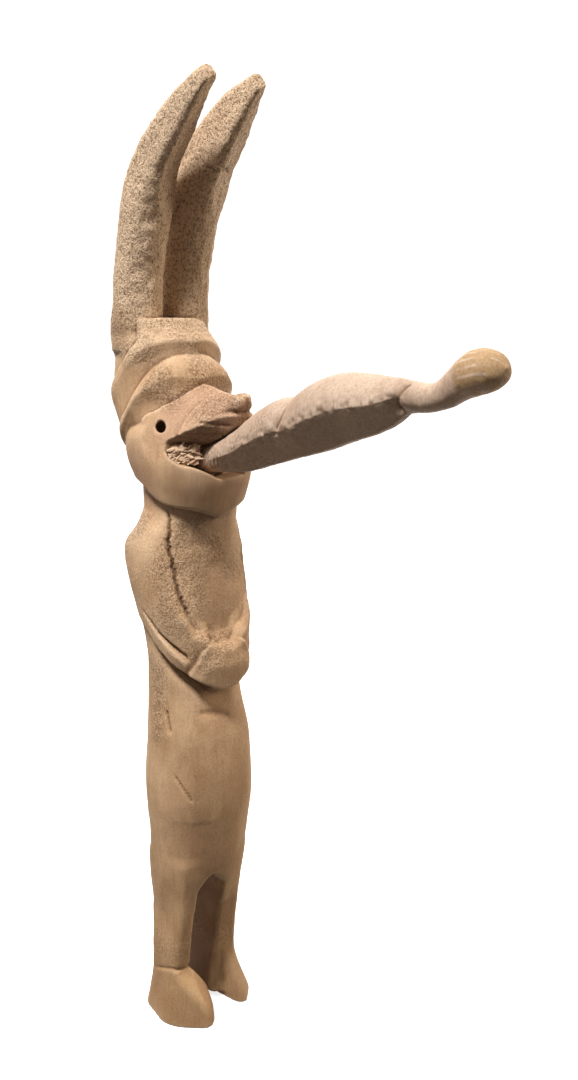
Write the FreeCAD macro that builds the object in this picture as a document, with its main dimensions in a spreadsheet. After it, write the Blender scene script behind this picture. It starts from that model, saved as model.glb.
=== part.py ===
"""Carved wooden fertility doll: a standing figure with a long tongue set into its mouth.

Frame: the figure faces -Y, +X is its left and +Z is up.  The origin is on the
ground, midway between the two feet.  Sizes are in millimetres.

The figure, its horns, arms, legs and feet are one piece of wood.  The tongue is
a second piece whose round tenon sits in a blind socket bored up into the back
of the mouth, and a small wedge fills the right corner of the mouth beside it.
"""
import FreeCAD, Part
import os
import Sketcher
from FreeCAD import Placement, Rotation, Vector

os.makedirs("parts", exist_ok=True)
doc = FreeCAD.newDocument("fertility_doll")

# ------------------------------------------------------------------ driving sizes
# Each row is an alias and its value; an alias that ends in _wide or _deep is a
# half width along X or a half depth along Y, and one that ends in _mid is the
# section's centre along Y.
DRIVING = {
    # legs and feet
    "leg_apart": 10.4, "foot_wide": 7.9, "foot_long": 17.6, "foot_mid": -4.9, "foot_high": 22.5,
    "toe_high": 5.0, "toe_front": 22.6, "crease_front": 9.4,
    "ankle_up": 19.0, "ankle_wide": 6.0, "ankle_deep": 9.9, "ankle_mid": 0.6,
    "calf_up": 38.0, "calf_wide": 5.6, "calf_deep": 10.4, "calf_mid": -1.6,
    "thigh_up": 70.0, "thigh_wide": 6.8, "thigh_deep": 12.6, "thigh_mid": -4.2,
    "slot_high": 64.0, "slot_wide": 4.8,
    # trunk, from the crotch to the neck
    "crotch_up": 58.0, "crotch_wide": 18.0, "crotch_deep": 15.4, "crotch_mid": -3.4,
    "seat_up": 80.0, "seat_wide": 19.8, "seat_deep": 17.0, "seat_mid": -5.8,
    "hip_up": 101.0, "hip_wide": 21.4, "hip_deep": 18.6, "hip_mid": -6.7,
    "belly_up": 122.0, "belly_wide": 20.3, "belly_deep": 17.6, "belly_mid": -6.6,
    "waist_up": 143.0, "waist_wide": 18.2, "waist_deep": 15.6, "waist_mid": -4.6,
    "chest_up": 167.0, "chest_wide": 19.6, "chest_deep": 16.8, "chest_mid": -3.8,
    "shoulder_up": 190.0, "shoulder_wide": 22.3, "shoulder_deep": 18.6, "shoulder_mid": 0.0,
    "neck_up": 208.0, "neck_wide": 17.6, "neck_deep": 15.2, "neck_mid": -3.0,
    # forearms crossed on the belly
    "elbow_out": 15.6, "elbow_mid": -6.0, "elbow_up": 170.0, "elbow_thick": 6.6,
    "wrist_out": 9.0, "wrist_mid": -18.6, "wrist_up": 159.0, "wrist_thick": 6.2,
    "hand_up": 144.5, "hand_high": 19.5, "hand_wide": 13.0, "hand_deep": 11.6, "hand_mid": -14.8,
    # head, from the jaw to the crown
    "jaw_up": 206.0, "jaw_wide": 15.6, "jaw_deep": 13.6, "jaw_mid": -5.2,
    "chin_up": 216.0, "chin_wide": 19.6, "chin_deep": 17.6, "chin_mid": -6.6,
    "lip_up": 229.0, "lip_wide": 22.8, "lip_deep": 20.6, "lip_mid": -4.6,
    "cheek_up": 243.0, "cheek_wide": 23.4, "cheek_deep": 20.0, "cheek_mid": 1.2,
    "brow_up": 256.0, "brow_wide": 22.2, "brow_deep": 18.4, "brow_mid": 5.6,
    "crown_up": 281.0, "crown_wide": 18.8, "crown_deep": 14.6, "crown_mid": 12.6,
    # snout, carried forward from the cheeks to the nose
    "snout_back": 4.0, "snout_root_wide": 21.6, "snout_root_deep": 8.6, "snout_root_up": 247.0,
    "snout_front": 39.0, "nose_wide": 4.8, "nose_deep": 3.6, "nose_up": 251.4,
    # two headbands, thick discs tilted down towards the nape
    "band_tilt": 50.0, "band_apex": 12.6, "band_thick": 6.4,
    "upper_band_up": 275.6, "upper_band_wide": 22.4, "upper_band_deep": 25.6,
    "lower_band_up": 262.6, "lower_band_wide": 23.8, "lower_band_deep": 23.4,
    # horns
    "horn_apart": 10.7,
    "horn_foot_up": 276.0, "horn_foot_mid": 12.2, "horn_foot_wide": 9.6,
    "horn_low_up": 300.0, "horn_low_mid": 10.8, "horn_low_wide": 9.9,
    "horn_bend_up": 323.0, "horn_bend_mid": 4.0, "horn_bend_wide": 9.3, "horn_bend_tilt": 24.0,
    "horn_top_up": 341.0, "horn_top_mid": -9.0, "horn_top_wide": 6.9, "horn_top_tilt": 44.0,
    "horn_tip_up": 358.6, "horn_tip_mid": -31.0, "horn_tip_wide": 3.4, "horn_tip_tilt": 52.0,
    "horn_flat": 0.9,
    # mouth
    "mouth_back": 12.0, "mouth_floor": 230.4, "mouth_roof": 236.6, "mouth_rise": 11.0, "mouth_reach": 44.0,
    "eye_out": 18.4, "eye_mid": -15.0, "eye_up": 244.0, "eye_turn": 52.0, "eye_round": 1.8, "eye_deep": 7.0,
    # tongue and its joint
    "tongue_mid": -19.0, "tongue_up": 230.0, "tongue_lean": 73.7, "tenon_round": 5.0, "tenon_long": 15.0,
    "joint_gap": 0.05, "socket_spare": 1.0, "trough_round": 7.2, "trough_long": 26.0, "trough_flare": 7.0,
    # wedge beside the tongue
    "wedge_in": 8.6, "wedge_out": 17.6, "wedge_back": 14.0, "wedge_long": 6.6, "wedge_high": 5.6,
    "wedge_tail": 1.6,
}

# The tongue's sections: distance out from the mouth, half thickness, and how far
# the section's centre rises above the straight axis.
TONGUE = [
    ("root", 0.0, 6.1, 0.0),
    ("throat", 18.0, 7.7, 0.8),
    ("swell", 38.0, 9.7, 1.8),
    ("belly", 60.0, 10.3, 2.9),
    ("fall", 78.0, 9.6, 2.8),
    ("waist", 97.0, 6.6, 0.2),
    ("neck", 114.0, 4.2, -2.0),
    ("flare", 128.0, 5.3, -0.8),
    ("tip", 137.0, 5.4, 0.6),
]
for tongue_part, out, thick, rise in TONGUE:
    DRIVING["tongue_%s_out" % tongue_part] = out
    DRIVING["tongue_%s_thick" % tongue_part] = thick
    DRIVING["tongue_%s_rise" % tongue_part] = rise

sheet = doc.addObject("Spreadsheet::Sheet", "sizes")
for row, (alias, value) in enumerate(DRIVING.items(), start=1):
    sheet.set("A%d" % row, alias)
    sheet.set("B%d" % row, str(value))
    sheet.setAlias("B%d" % row, alias)
doc.recompute()


def size(alias):
    """The value of a driving size, in millimetres or degrees."""
    return float(getattr(sheet, alias))


# ------------------------------------------------------------------ sketch helpers
def new_sketch(body, name, role, offset=None, turn=None, bind=None):
    """A sketch on one of a body's origin planes, moved by offset and turned by (axis, angle).

    bind maps a property of the sketch, such as AttachmentOffset.Base.z, to an expression.
    """
    sketch = body.newObject("Sketcher::SketchObject", name)
    plane = [item for item in body.Origin.OriginFeatures if item.Role == role][0]
    sketch.AttachmentSupport = [(plane, "")]
    sketch.MapMode = "FlatFace"
    rotation = Rotation(*turn) if turn else Rotation()
    sketch.AttachmentOffset = Placement(Vector(*(offset or (0, 0, 0))), rotation)
    for target, expression in (bind or {}).items():
        sketch.setExpression(target, expression)
    return sketch


def draw_ellipse(sketch, wide, deep):
    """An ellipse about the sketch's origin, with half axes bound to two expressions."""
    across, along = (doc_value(wide), doc_value(deep))
    is_wide = across > along
    major, minor = (Vector(across, 0, 0), Vector(0, along, 0))
    if not is_wide:
        major, minor = (Vector(0, along, 0), Vector(-across, 0, 0))
    sketch.addGeometry(Part.Ellipse(major, minor, Vector(0, 0, 0)), False)
    sketch.exposeInternalGeometry(0)
    sketch.addConstraint(Sketcher.Constraint("Coincident", 0, 3, -1, 1))
    sketch.addConstraint(Sketcher.Constraint("Horizontal" if is_wide else "Vertical", 1))
    for line, name, expression in ((1, "major", wide if is_wide else deep), (2, "minor", deep if is_wide else wide)):
        index = sketch.addConstraint(Sketcher.Constraint("Distance", line, 2 * doc_value(expression)))
        sketch.renameConstraint(index, name)
        sketch.setExpression("Constraints." + name, "2 * (%s)" % expression)


def draw_circle(sketch, radius):
    """A circle about the sketch's origin, with its radius bound to an expression."""
    sketch.addGeometry(Part.Circle(Vector(0, 0, 0), Vector(0, 0, 1), doc_value(radius)), False)
    sketch.addConstraint(Sketcher.Constraint("Coincident", 0, 3, -1, 1))
    index = sketch.addConstraint(Sketcher.Constraint("Radius", 0, doc_value(radius)))
    sketch.renameConstraint(index, "radius")
    sketch.setExpression("Constraints.radius", radius)


def draw_outline(sketch, corners):
    """A closed outline of straight edges whose corners are pairs of expressions."""
    points = [Vector(doc_value(across), doc_value(up), 0) for across, up in corners]
    count = len(points)
    for index in range(count):
        sketch.addGeometry(Part.LineSegment(points[index], points[(index + 1) % count]), False)
    for index in range(count):
        sketch.addConstraint(Sketcher.Constraint("Coincident", index, 2, (index + 1) % count, 1))
    for index, (across, up) in enumerate(corners):
        for kind, expression in (("DistanceX", across), ("DistanceY", up)):
            value = doc_value(expression)
            name = "%s%d" % (kind.lower(), index)
            constraint = sketch.addConstraint(Sketcher.Constraint(kind, -1, 1, index, 1, value))
            sketch.renameConstraint(constraint, name)
            sketch.setExpression("Constraints." + name, expression)


def doc_value(expression):
    """The number that an expression on the sheet gives."""
    result = sheet.evalExpression(expression)
    return float(getattr(result, "Value", result))


def loft(body, name, sketches, kind="PartDesign::AdditiveLoft"):
    """A smooth loft through closed sketches, added to the body."""
    feature = body.newObject(kind, name)
    feature.Profile = (sketches[0], [""])
    feature.Sections = [(sketch, [""]) for sketch in sketches[1:]]
    feature.Ruled = False
    doc.recompute()
    return feature


def pad(body, name, sketch, length, midplane=False, reverse=False):
    """A straight extrusion of a sketch, added to the body."""
    feature = body.newObject("PartDesign::Pad", name)
    feature.Profile = sketch
    feature.setExpression("Length", length)
    feature.Midplane = midplane
    feature.Reversed = reverse
    doc.recompute()
    return feature


def pocket(body, name, sketch, length=None, midplane=False, reverse=False, taper=None):
    """A cut from a sketch; with no length it goes all the way through.

    The body's volume is compared before and after, because a cut that points
    away from the solid removes nothing.
    """
    before = body.Shape.Volume
    feature = body.newObject("PartDesign::Pocket", name)
    feature.Profile = sketch
    feature.Midplane = midplane
    feature.Reversed = reverse
    if length:
        feature.setExpression("Length", length)
    else:
        feature.Type = "ThroughAll"
    if taper:
        feature.setExpression("TaperAngle", taper)
    doc.recompute()
    if body.Shape.Volume >= before - 1.0:
        raise RuntimeError("%s cuts nothing" % name)
    return feature


def mirror(body, name, features):
    """The features repeated on the figure's other side."""
    plane = [item for item in body.Origin.OriginFeatures if item.Role == "YZ_Plane"][0]
    feature = body.newObject("PartDesign::Mirrored", name)
    feature.Originals = features
    feature.MirrorPlane = (plane, [""])
    body.Tip = feature
    doc.recompute()
    return feature


def level_section(body, name, part, across="0"):
    """An ellipse on a level plane, from the four sizes of one part of the body."""
    bind = {
        "AttachmentOffset.Base.x": across,
        "AttachmentOffset.Base.y": "sizes.%s_mid" % part,
        "AttachmentOffset.Base.z": "sizes.%s_up" % part,
    }
    offset = (doc_value(across), size(part + "_mid"), size(part + "_up"))
    sketch = new_sketch(body, name, "XY_Plane", offset=offset, bind=bind)
    draw_ellipse(sketch, "sizes.%s_wide" % part, "sizes.%s_deep" % part)
    return sketch


# ------------------------------------------------------------------ the figure
def build_trunk(body):
    """Hips, belly, chest and shoulders as one smooth form that swells and narrows."""
    parts = ("crotch", "seat", "hip", "belly", "waist", "chest", "shoulder", "neck")
    return loft(body, "trunk", [level_section(body, part + "_section", part) for part in parts])


def build_head(body):
    """The head above the overhanging jaw, up to the crown that carries the horns."""
    parts = ("jaw", "chin", "lip", "cheek", "brow", "crown")
    return loft(body, "head", [level_section(body, part + "_section", part) for part in parts])


def build_snout(body):
    """A blunt beak that runs forward from the cheeks to the nose."""
    sketches = []
    for name, reach in (("snout_root", "sizes.snout_back"), ("nose", "sizes.snout_front")):
        bind = {
            "AttachmentOffset.Base.y": "sizes.%s_up" % name,
            "AttachmentOffset.Base.z": reach,
        }
        offset = (0, size(name + "_up"), doc_value(reach))
        sketch = new_sketch(body, name + "_section", "XZ_Plane", offset=offset, bind=bind)
        draw_ellipse(sketch, "sizes.%s_wide" % name, "sizes.%s_deep" % name)
        sketches.append(sketch)
    return loft(body, "snout", sketches)


def build_bands(body):
    """Two stepped headbands, each a disc that tilts down from the brow to the nape."""
    bands = []
    for name in ("lower_band", "upper_band"):
        bind = {
            "AttachmentOffset.Base.y": "sizes.%s_deep * cos(sizes.band_tilt) - sizes.band_apex" % name,
            "AttachmentOffset.Base.z": "sizes.%s_up - sizes.%s_deep * sin(sizes.band_tilt)" % (name, name),
            "AttachmentOffset.Rotation.Angle": "-sizes.band_tilt",
        }
        sketch = new_sketch(body, name + "_section", "XY_Plane", turn=(Vector(1, 0, 0), -size("band_tilt")), bind=bind)
        draw_ellipse(sketch, "sizes.%s_wide" % name, "sizes.%s_deep" % name)
        bands.append(pad(body, name, sketch, "sizes.band_thick", midplane=True))
    return bands


def build_horn(body):
    """One tall horn that stands straight, then curves forward to a chopped tip."""
    sketches = []
    for part in ("foot", "low", "bend", "top", "tip"):
        turned = part in ("bend", "top", "tip")
        bind = {
            "AttachmentOffset.Base.x": "-sizes.horn_apart",
            "AttachmentOffset.Base.y": "sizes.horn_%s_mid" % part,
            "AttachmentOffset.Base.z": "sizes.horn_%s_up" % part,
        }
        turn = None
        if turned:
            turn = (Vector(1, 0, 0), size("horn_%s_tilt" % part))
            bind["AttachmentOffset.Rotation.Angle"] = "sizes.horn_%s_tilt" % part
        offset = (-size("horn_apart"), size("horn_%s_mid" % part), size("horn_%s_up" % part))
        sketch = new_sketch(body, "horn_%s_section" % part, "XY_Plane", offset=offset, turn=turn, bind=bind)
        wide = "sizes.horn_%s_wide" % part
        draw_ellipse(sketch, wide, wide + " * sizes.horn_flat")
        sketches.append(sketch)
    return loft(body, "horn", sketches)


def build_leg(body):
    """One leg from the thigh to the ankle, on its wedge-shaped foot."""
    across = "-sizes.leg_apart"
    sections = [level_section(body, part + "_section", part, across) for part in ("ankle", "calf", "thigh")]
    leg = loft(body, "leg", sections)
    bind = {"AttachmentOffset.Base.x": across, "AttachmentOffset.Base.y": "sizes.foot_mid"}
    sole = new_sketch(body, "sole_section", "XY_Plane", offset=(doc_value(across), size("foot_mid"), 0), bind=bind)
    draw_ellipse(sole, "sizes.foot_wide", "sizes.foot_long")
    return [leg, pad(body, "foot", sole, "sizes.foot_high")]


def cut_insteps(body):
    """The flat slope from each ankle's crease down to the toes, cut across both feet."""
    instep = new_sketch(body, "instep_section", "YZ_Plane")
    draw_outline(instep, [
        ("-sizes.crease_front", "sizes.foot_high"),
        ("-sizes.toe_front", "sizes.toe_high"),
        ("-sizes.toe_front - 10", "sizes.toe_high"),
        ("-sizes.toe_front - 10", "sizes.foot_high + 1"),
        ("-sizes.crease_front", "sizes.foot_high + 1"),
    ])
    return pocket(body, "instep", instep, midplane=True)


def build_arms(body):
    """Forearms that come forward round the belly to the clasped hands."""
    across = {"elbow": "-sizes.elbow_out", "wrist": "-sizes.wrist_out"}
    sketches = []
    for part, out in across.items():
        bind = {
            "AttachmentOffset.Base.x": out,
            "AttachmentOffset.Base.y": "sizes.%s_up" % part,
            "AttachmentOffset.Base.z": "-sizes.%s_mid" % part,
        }
        offset = (doc_value(out), size(part + "_up"), -size(part + "_mid"))
        sketch = new_sketch(body, part + "_section", "XZ_Plane", offset=offset, bind=bind)
        draw_circle(sketch, "sizes.%s_thick" % part)
        sketches.append(sketch)
    return loft(body, "forearm", sketches)


def build_hands(body):
    """The block of the two clasped hands, standing out from the belly."""
    sketch = level_section(body, "hand_section", "hand")
    return pad(body, "hands", sketch, "sizes.hand_high")


def cut_legs_apart(body):
    """The pointed arch at the crotch, where the slot between the legs begins."""
    sketch = new_sketch(body, "slot_section", "XZ_Plane")
    draw_outline(sketch, [
        ("-sizes.slot_wide", "sizes.crotch_up - 1"),
        ("sizes.slot_wide", "sizes.crotch_up - 1"),
        ("0", "sizes.slot_high"),
    ])
    return pocket(body, "leg_slot", sketch, midplane=True)


def cut_mouth(body):
    """The mouth: a wedge-shaped gape with a flat floor, and the trough the tongue leaves by."""
    gape = new_sketch(body, "gape_section", "YZ_Plane")
    draw_outline(gape, [
        ("-sizes.mouth_back", "sizes.mouth_floor"),
        ("-sizes.mouth_reach", "sizes.mouth_floor"),
        ("-sizes.mouth_reach", "sizes.mouth_roof + sizes.mouth_rise"),
        ("-sizes.mouth_back", "sizes.mouth_roof"),
    ])
    pocket(body, "gape", gape, midplane=True)
    lean = (Vector(1, 0, 0), size("tongue_lean"))
    place = (0, size("tongue_mid"), size("tongue_up"))
    bind = {
        "AttachmentOffset.Base.y": "sizes.tongue_mid",
        "AttachmentOffset.Base.z": "sizes.tongue_up",
        "AttachmentOffset.Rotation.Angle": "sizes.tongue_lean",
    }
    socket = new_sketch(body, "socket_section", "XY_Plane", offset=place, turn=lean, bind=bind)
    draw_circle(socket, "sizes.tenon_round + sizes.joint_gap")
    pocket(body, "socket", socket, "sizes.tenon_long + sizes.socket_spare")
    trough = new_sketch(body, "trough_section", "XY_Plane", offset=place, turn=lean, bind=bind)
    draw_circle(trough, "sizes.trough_round")
    return pocket(body, "trough", trough, "sizes.trough_long", reverse=True, taper="sizes.trough_flare")


def drill_eye(body):
    """One drilled eye, square to the side of the face."""
    turn = Rotation(Vector(0, 0, 1), -size("eye_turn")) * Rotation(Vector(1, 0, 0), 90)
    sketch = new_sketch(body, "eye_section", "XY_Plane")
    sketch.AttachmentOffset = Placement(Vector(-size("eye_out"), size("eye_mid"), size("eye_up")), turn)
    sketch.setExpression("AttachmentOffset.Base.x", "-sizes.eye_out")
    sketch.setExpression("AttachmentOffset.Base.y", "sizes.eye_mid")
    sketch.setExpression("AttachmentOffset.Base.z", "sizes.eye_up")
    draw_circle(sketch, "sizes.eye_round")
    return pocket(body, "eye", sketch, "2 * sizes.eye_deep", midplane=True)


def build_figure():
    """The carved figure, one piece of wood from the soles to the horn tips."""
    body = doc.addObject("PartDesign::Body", "figure")
    body.Label = "figure"
    build_trunk(body)
    cut_legs_apart(body)
    build_head(body)
    build_snout(body)
    build_bands(body)
    forearm = build_arms(body)
    horn = build_horn(body)
    leg = build_leg(body)
    mirror(body, "left_side", [forearm, horn] + leg)
    build_hands(body)
    cut_insteps(body)
    cut_mouth(body)
    eye = drill_eye(body)
    mirror(body, "left_eye", [eye])
    return body


# ------------------------------------------------------------------ tongue and wedge
def build_tongue():
    """The tongue: a long swelling form with a waist, a flared tip and a round tenon.

    It is drawn upright about its own axis, and its Placement leans it forward
    from the mouth.
    """
    body = doc.addObject("PartDesign::Body", "tongue")
    body.Label = "tongue"
    sketches = []
    for part, out, thick, rise in TONGUE:
        bind = {
            "AttachmentOffset.Base.y": "sizes.tongue_%s_rise" % part,
            "AttachmentOffset.Base.z": "sizes.tongue_%s_out" % part,
        }
        sketch = new_sketch(body, part + "_ring", "XY_Plane", offset=(0, rise, out), bind=bind)
        draw_circle(sketch, "sizes.tongue_%s_thick" % part)
        sketches.append(sketch)
    loft(body, "blade", sketches)
    tenon_ring = new_sketch(body, "tenon_ring", "XY_Plane")
    draw_circle(tenon_ring, "sizes.tenon_round")
    pad(body, "tenon", tenon_ring, "sizes.tenon_long", reverse=True)
    edge = max(body.Shape.Edges, key=lambda item: item.CenterOfMass.z)
    name = "Edge%d" % (1 + [item.isSame(edge) for item in body.Shape.Edges].index(True))
    rounding = body.newObject("PartDesign::Fillet", "tip_rounding")
    rounding.Base = (body.Tip if body.Tip.Name != "tip_rounding" else doc.getObject("tenon"), [name])
    rounding.Radius = 3.0
    body.setExpression("Placement.Base.y", "sizes.tongue_mid")
    body.setExpression("Placement.Base.z", "sizes.tongue_up")
    body.Placement = Placement(Vector(0, size("tongue_mid"), size("tongue_up")),
                               Rotation(Vector(1, 0, 0), size("tongue_lean")))
    body.setExpression("Placement.Rotation.Angle", "sizes.tongue_lean")
    return body


def build_wedge():
    """The wedge in the right corner of the mouth, tall beside the tongue and thin at the corner."""
    body = doc.addObject("PartDesign::Body", "mouth_wedge")
    body.Label = "mouth_wedge"
    bind = {"AttachmentOffset.Base.z": "sizes.wedge_back"}
    sketch = new_sketch(body, "wedge_face", "XZ_Plane", offset=(0, 0, size("wedge_back")), bind=bind)
    floor = "sizes.mouth_floor + sizes.joint_gap"
    draw_outline(sketch, [
        ("-sizes.wedge_in", floor),
        ("-sizes.wedge_in", floor + " + sizes.wedge_high"),
        ("-sizes.wedge_out", floor + " + sizes.wedge_tail"),
        ("-sizes.wedge_out", floor),
    ])
    pad(body, "wedge", sketch, "sizes.wedge_long")
    return body


pieces = [build_figure(), build_tongue(), build_wedge()]
doc.recompute()

for item in doc.Objects:
    if "Invalid" in item.State or "Error" in item.State:
        raise RuntimeError("%s did not compute: %s" % (item.Name, item.State))
for piece in pieces:
    shape = piece.Shape
    if shape.isNull() or not shape.isValid() or len(shape.Solids) != 1:
        raise RuntimeError("%s is not one valid solid" % piece.Label)
    box = shape.BoundBox
    print("%s: volume %.0f mm3, x %.1f..%.1f y %.1f..%.1f z %.1f..%.1f" % (
        piece.Label, shape.Volume, box.XMin, box.XMax, box.YMin, box.YMax, box.ZMin, box.ZMax))
    shape.exportStep("parts/%s.step" % piece.Label)
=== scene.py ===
"""Looks of the carved fertility doll: the figure, its long wooden tongue and the splinter wedge.

Working lengths are millimetres on a doll 361 mm tall, standing with its soles at height 0, facing -Y,
with its own left hand towards +X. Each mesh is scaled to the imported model's box when it is made.
"""

import itertools
import logging
from dataclasses import dataclass, field
from enum import Enum

import bmesh
import bpy
import numpy as np
import openvdb as vdb
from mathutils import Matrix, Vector

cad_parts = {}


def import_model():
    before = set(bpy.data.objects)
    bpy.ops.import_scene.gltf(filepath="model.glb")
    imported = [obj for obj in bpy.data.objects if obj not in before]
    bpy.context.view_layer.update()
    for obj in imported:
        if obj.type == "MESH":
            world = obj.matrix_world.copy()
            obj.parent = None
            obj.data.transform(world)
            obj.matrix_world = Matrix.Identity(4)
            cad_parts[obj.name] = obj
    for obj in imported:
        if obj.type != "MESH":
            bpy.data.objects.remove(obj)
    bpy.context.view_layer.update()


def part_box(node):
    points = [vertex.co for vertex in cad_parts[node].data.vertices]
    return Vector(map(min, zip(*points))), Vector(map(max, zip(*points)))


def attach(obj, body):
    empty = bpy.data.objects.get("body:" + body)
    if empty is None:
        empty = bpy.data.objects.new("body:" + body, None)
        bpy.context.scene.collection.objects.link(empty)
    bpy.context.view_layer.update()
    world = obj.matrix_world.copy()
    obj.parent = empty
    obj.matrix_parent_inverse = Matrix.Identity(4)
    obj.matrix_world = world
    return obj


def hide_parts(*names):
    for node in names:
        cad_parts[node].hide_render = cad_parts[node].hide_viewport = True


log = logging.getLogger("doll")

NOMINAL_HEIGHT = 361.0
Array = np.ndarray
Table = tuple[tuple[float, ...], ...]
Triple = tuple[float, float, float]
Colour = tuple[float, float, float, float]


# ---------------------------------------------------------------------------------------------
# shaping helpers

def curve(at: Array, table: Table, column: int = 1) -> Array:
    """A smooth line through a table's stations.

    Each piece is a cubic whose slope at a station is the mean of the slopes on both sides of it, and
    0 where the line turns back.

    Args:
        at: where to read the line.
        table: rows that start with the station and go on with its values.
        column: which value of each row to read.

    Returns:
        The value at each point, held level beyond both ends.
    """
    rows = np.asarray(table, float)
    knots, values = rows[:, 0], rows[:, column]
    chords = np.diff(values) / np.diff(knots)
    slopes = np.concatenate([[chords[0]], (chords[1:] + chords[:-1]) / 2, [chords[-1]]])
    flat = np.concatenate([[False], chords[1:] * chords[:-1] <= 0, [False]])
    slopes[flat] = 0
    where = np.clip(at, knots[0], knots[-1])
    k = np.clip(np.searchsorted(knots, where, side="right") - 1, 0, len(knots) - 2)
    span = knots[k + 1] - knots[k]
    t = (where - knots[k]) / span
    return ((1 + 2 * t) * (1 - t) ** 2 * values[k] + t * (1 - t) ** 2 * span * slopes[k]
            + t * t * (3 - 2 * t) * values[k + 1] + t * t * (t - 1) * span * slopes[k + 1]).astype(np.float32)


def ease(t: Array) -> Array:
    """0 below 0, 1 above 1, and a smooth S between."""
    t = np.clip(t, 0, 1)
    return t * t * (3 - 2 * t)


def join(a: Array, b: Array, fillet: float) -> Array:
    """Union of two solids given as distances (negative inside), with a fillet that wide where they meet."""
    h = np.clip(0.5 + 0.5 * (b - a) / fillet, 0, 1)
    return b + (a - b) * h - fillet * h * (1 - h)


def trim(a: Array, b: Array, softness: float) -> Array:
    """What two solids have in common, its new edges rounded by softness."""
    return -join(-a, -b, softness)


def bearing(x: Array, y: Array) -> Array:
    """Degrees round an upright axis: 0 at the front, positive towards the doll's own right."""
    return np.degrees(np.arctan2(-x, -y))


def ripple(points: Array, size: float | Triple, seed: int) -> Array:
    """Smooth lumps: random heights on a cubic lattice, blended between its corners.

    Args:
        points: places, one row each.
        size: distance between lattice points, the same on each axis or one per axis.
        seed: number that fixes the random heights.

    Returns:
        A height from -1 to 1 for each place.
    """
    lattice = np.random.default_rng(seed).uniform(-1, 1, (41, 37, 43))
    place = points / np.asarray(size, float)
    cell = np.floor(place).astype(int)
    part = ease(place - cell)
    total = np.zeros(len(points))
    for corner in itertools.product((0, 1), repeat=3):
        weight = np.prod(np.where(corner, part, 1 - part), axis=1)
        i, j, k = ((cell + corner) % lattice.shape).T
        total += weight * lattice[i, j, k]
    return total


def blob(points: Array, centre: Triple, radii: Triple) -> Array:
    """1 at an ellipsoid's centre, falling smoothly to 0 at its skin."""
    return ease(1 - np.linalg.norm((points - centre) / np.asarray(radii), axis=1))


def mesh_object(name: str, points: Array, faces: Array, scale: float) -> bpy.types.Object:
    """A smooth-shaded mesh object at the origin, from points in working millimetres.

    Args:
        name: the object's name.
        points: one row per vertex.
        faces: one row of vertex numbers per face, all with as many corners.
        scale: metres per working millimetre.

    Returns:
        The new object, linked to the scene.
    """
    mesh = bpy.data.meshes.new(name)
    corners = faces.shape[1]
    mesh.vertices.add(len(points))
    mesh.vertices.foreach_set("co", (points * scale).astype(np.float32).ravel())
    mesh.loops.add(faces.size)
    mesh.loops.foreach_set("vertex_index", faces.astype(np.int32).ravel())
    mesh.polygons.add(len(faces))
    mesh.polygons.foreach_set("loop_start", np.arange(0, faces.size, corners, dtype=np.int32))
    mesh.polygons.foreach_set("use_smooth", np.ones(len(faces), bool))
    mesh.update(calc_edges=True)
    mesh.validate()
    piece = bpy.data.objects.new(name, mesh)
    bpy.context.scene.collection.objects.link(piece)
    return piece


def vertex_places(mesh: bpy.types.Mesh, scale: float) -> Array:
    """A mesh's vertices in working millimetres, one row each.

    Args:
        mesh: the mesh.
        scale: metres per working millimetre.

    Returns:
        The vertices, one row each.
    """
    flat = np.empty(len(mesh.vertices) * 3, np.float32)
    mesh.vertices.foreach_get("co", flat)
    return flat.reshape(-1, 3) / scale


def vertex_normals(mesh: bpy.types.Mesh) -> Array:
    """A mesh's vertex normals, one row each.

    Args:
        mesh: the mesh.

    Returns:
        The normals, one row each.
    """
    flat = np.empty(len(mesh.vertices) * 3, np.float32)
    mesh.vertex_normals.foreach_get("vector", flat)
    return flat.reshape(-1, 3)


def hollowness(mesh: bpy.types.Mesh, scale: float, rounds: int) -> Array:
    """How far each vertex lies below its surroundings: positive in grooves, negative on edges.

    Every round moves a copy of the vertices to the mean of their neighbours. The way the copy has then
    moved along the vertex's normal is the answer.

    Args:
        mesh: the mesh to read.
        scale: metres per working millimetre.
        rounds: more rounds look at wider surroundings.

    Returns:
        Working millimetres, one number per vertex.
    """
    start = vertex_places(mesh, scale)
    ends = np.empty(len(mesh.edges) * 2, np.int32)
    mesh.edges.foreach_get("vertices", ends)
    ends = ends.reshape(-1, 2)
    one, other = np.concatenate([ends[:, 0], ends[:, 1]]), np.concatenate([ends[:, 1], ends[:, 0]])
    count = np.maximum(np.bincount(one, minlength=len(start)), 1)[:, None]
    moved = start.astype(float)
    for _ in range(rounds):
        moved = np.stack([np.bincount(one, moved[other, axis], len(start)) for axis in range(3)], 1) / count
    return np.sum((moved - start) * vertex_normals(mesh), axis=1)


def paint(mesh: bpy.types.Mesh, name: str, layers: tuple[Array, ...]) -> None:
    """Stores up to four numbers from 0 to 1 per vertex, as the red, green, blue and alpha of one attribute.

    Args:
        mesh: the mesh.
        name: its name.
        layers: one array of numbers per channel, each with a number per vertex.
    """
    colour = np.zeros((len(mesh.vertices), 4), np.float32)
    for k, layer in enumerate(layers):
        colour[:, k] = np.clip(layer, 0, 1)
    mesh.attributes.new(name, "FLOAT_COLOR", "POINT").data.foreach_set("color", colour.ravel())


def close_ends(piece: bpy.types.Object) -> None:
    """Fills the open rings at a swept mesh's two ends and turns every face outwards.

    Args:
        piece: the mesh object.
    """
    work = bmesh.new()
    work.from_mesh(piece.data)
    bmesh.ops.holes_fill(work, edges=[e for e in work.edges if e.is_boundary], sides=0)
    bmesh.ops.recalc_face_normals(work, faces=work.faces)
    work.to_mesh(piece.data)
    work.free()
    piece.data.polygons.foreach_set("use_smooth", np.ones(len(piece.data.polygons), bool))


# ---------------------------------------------------------------------------------------------
# finishes

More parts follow.
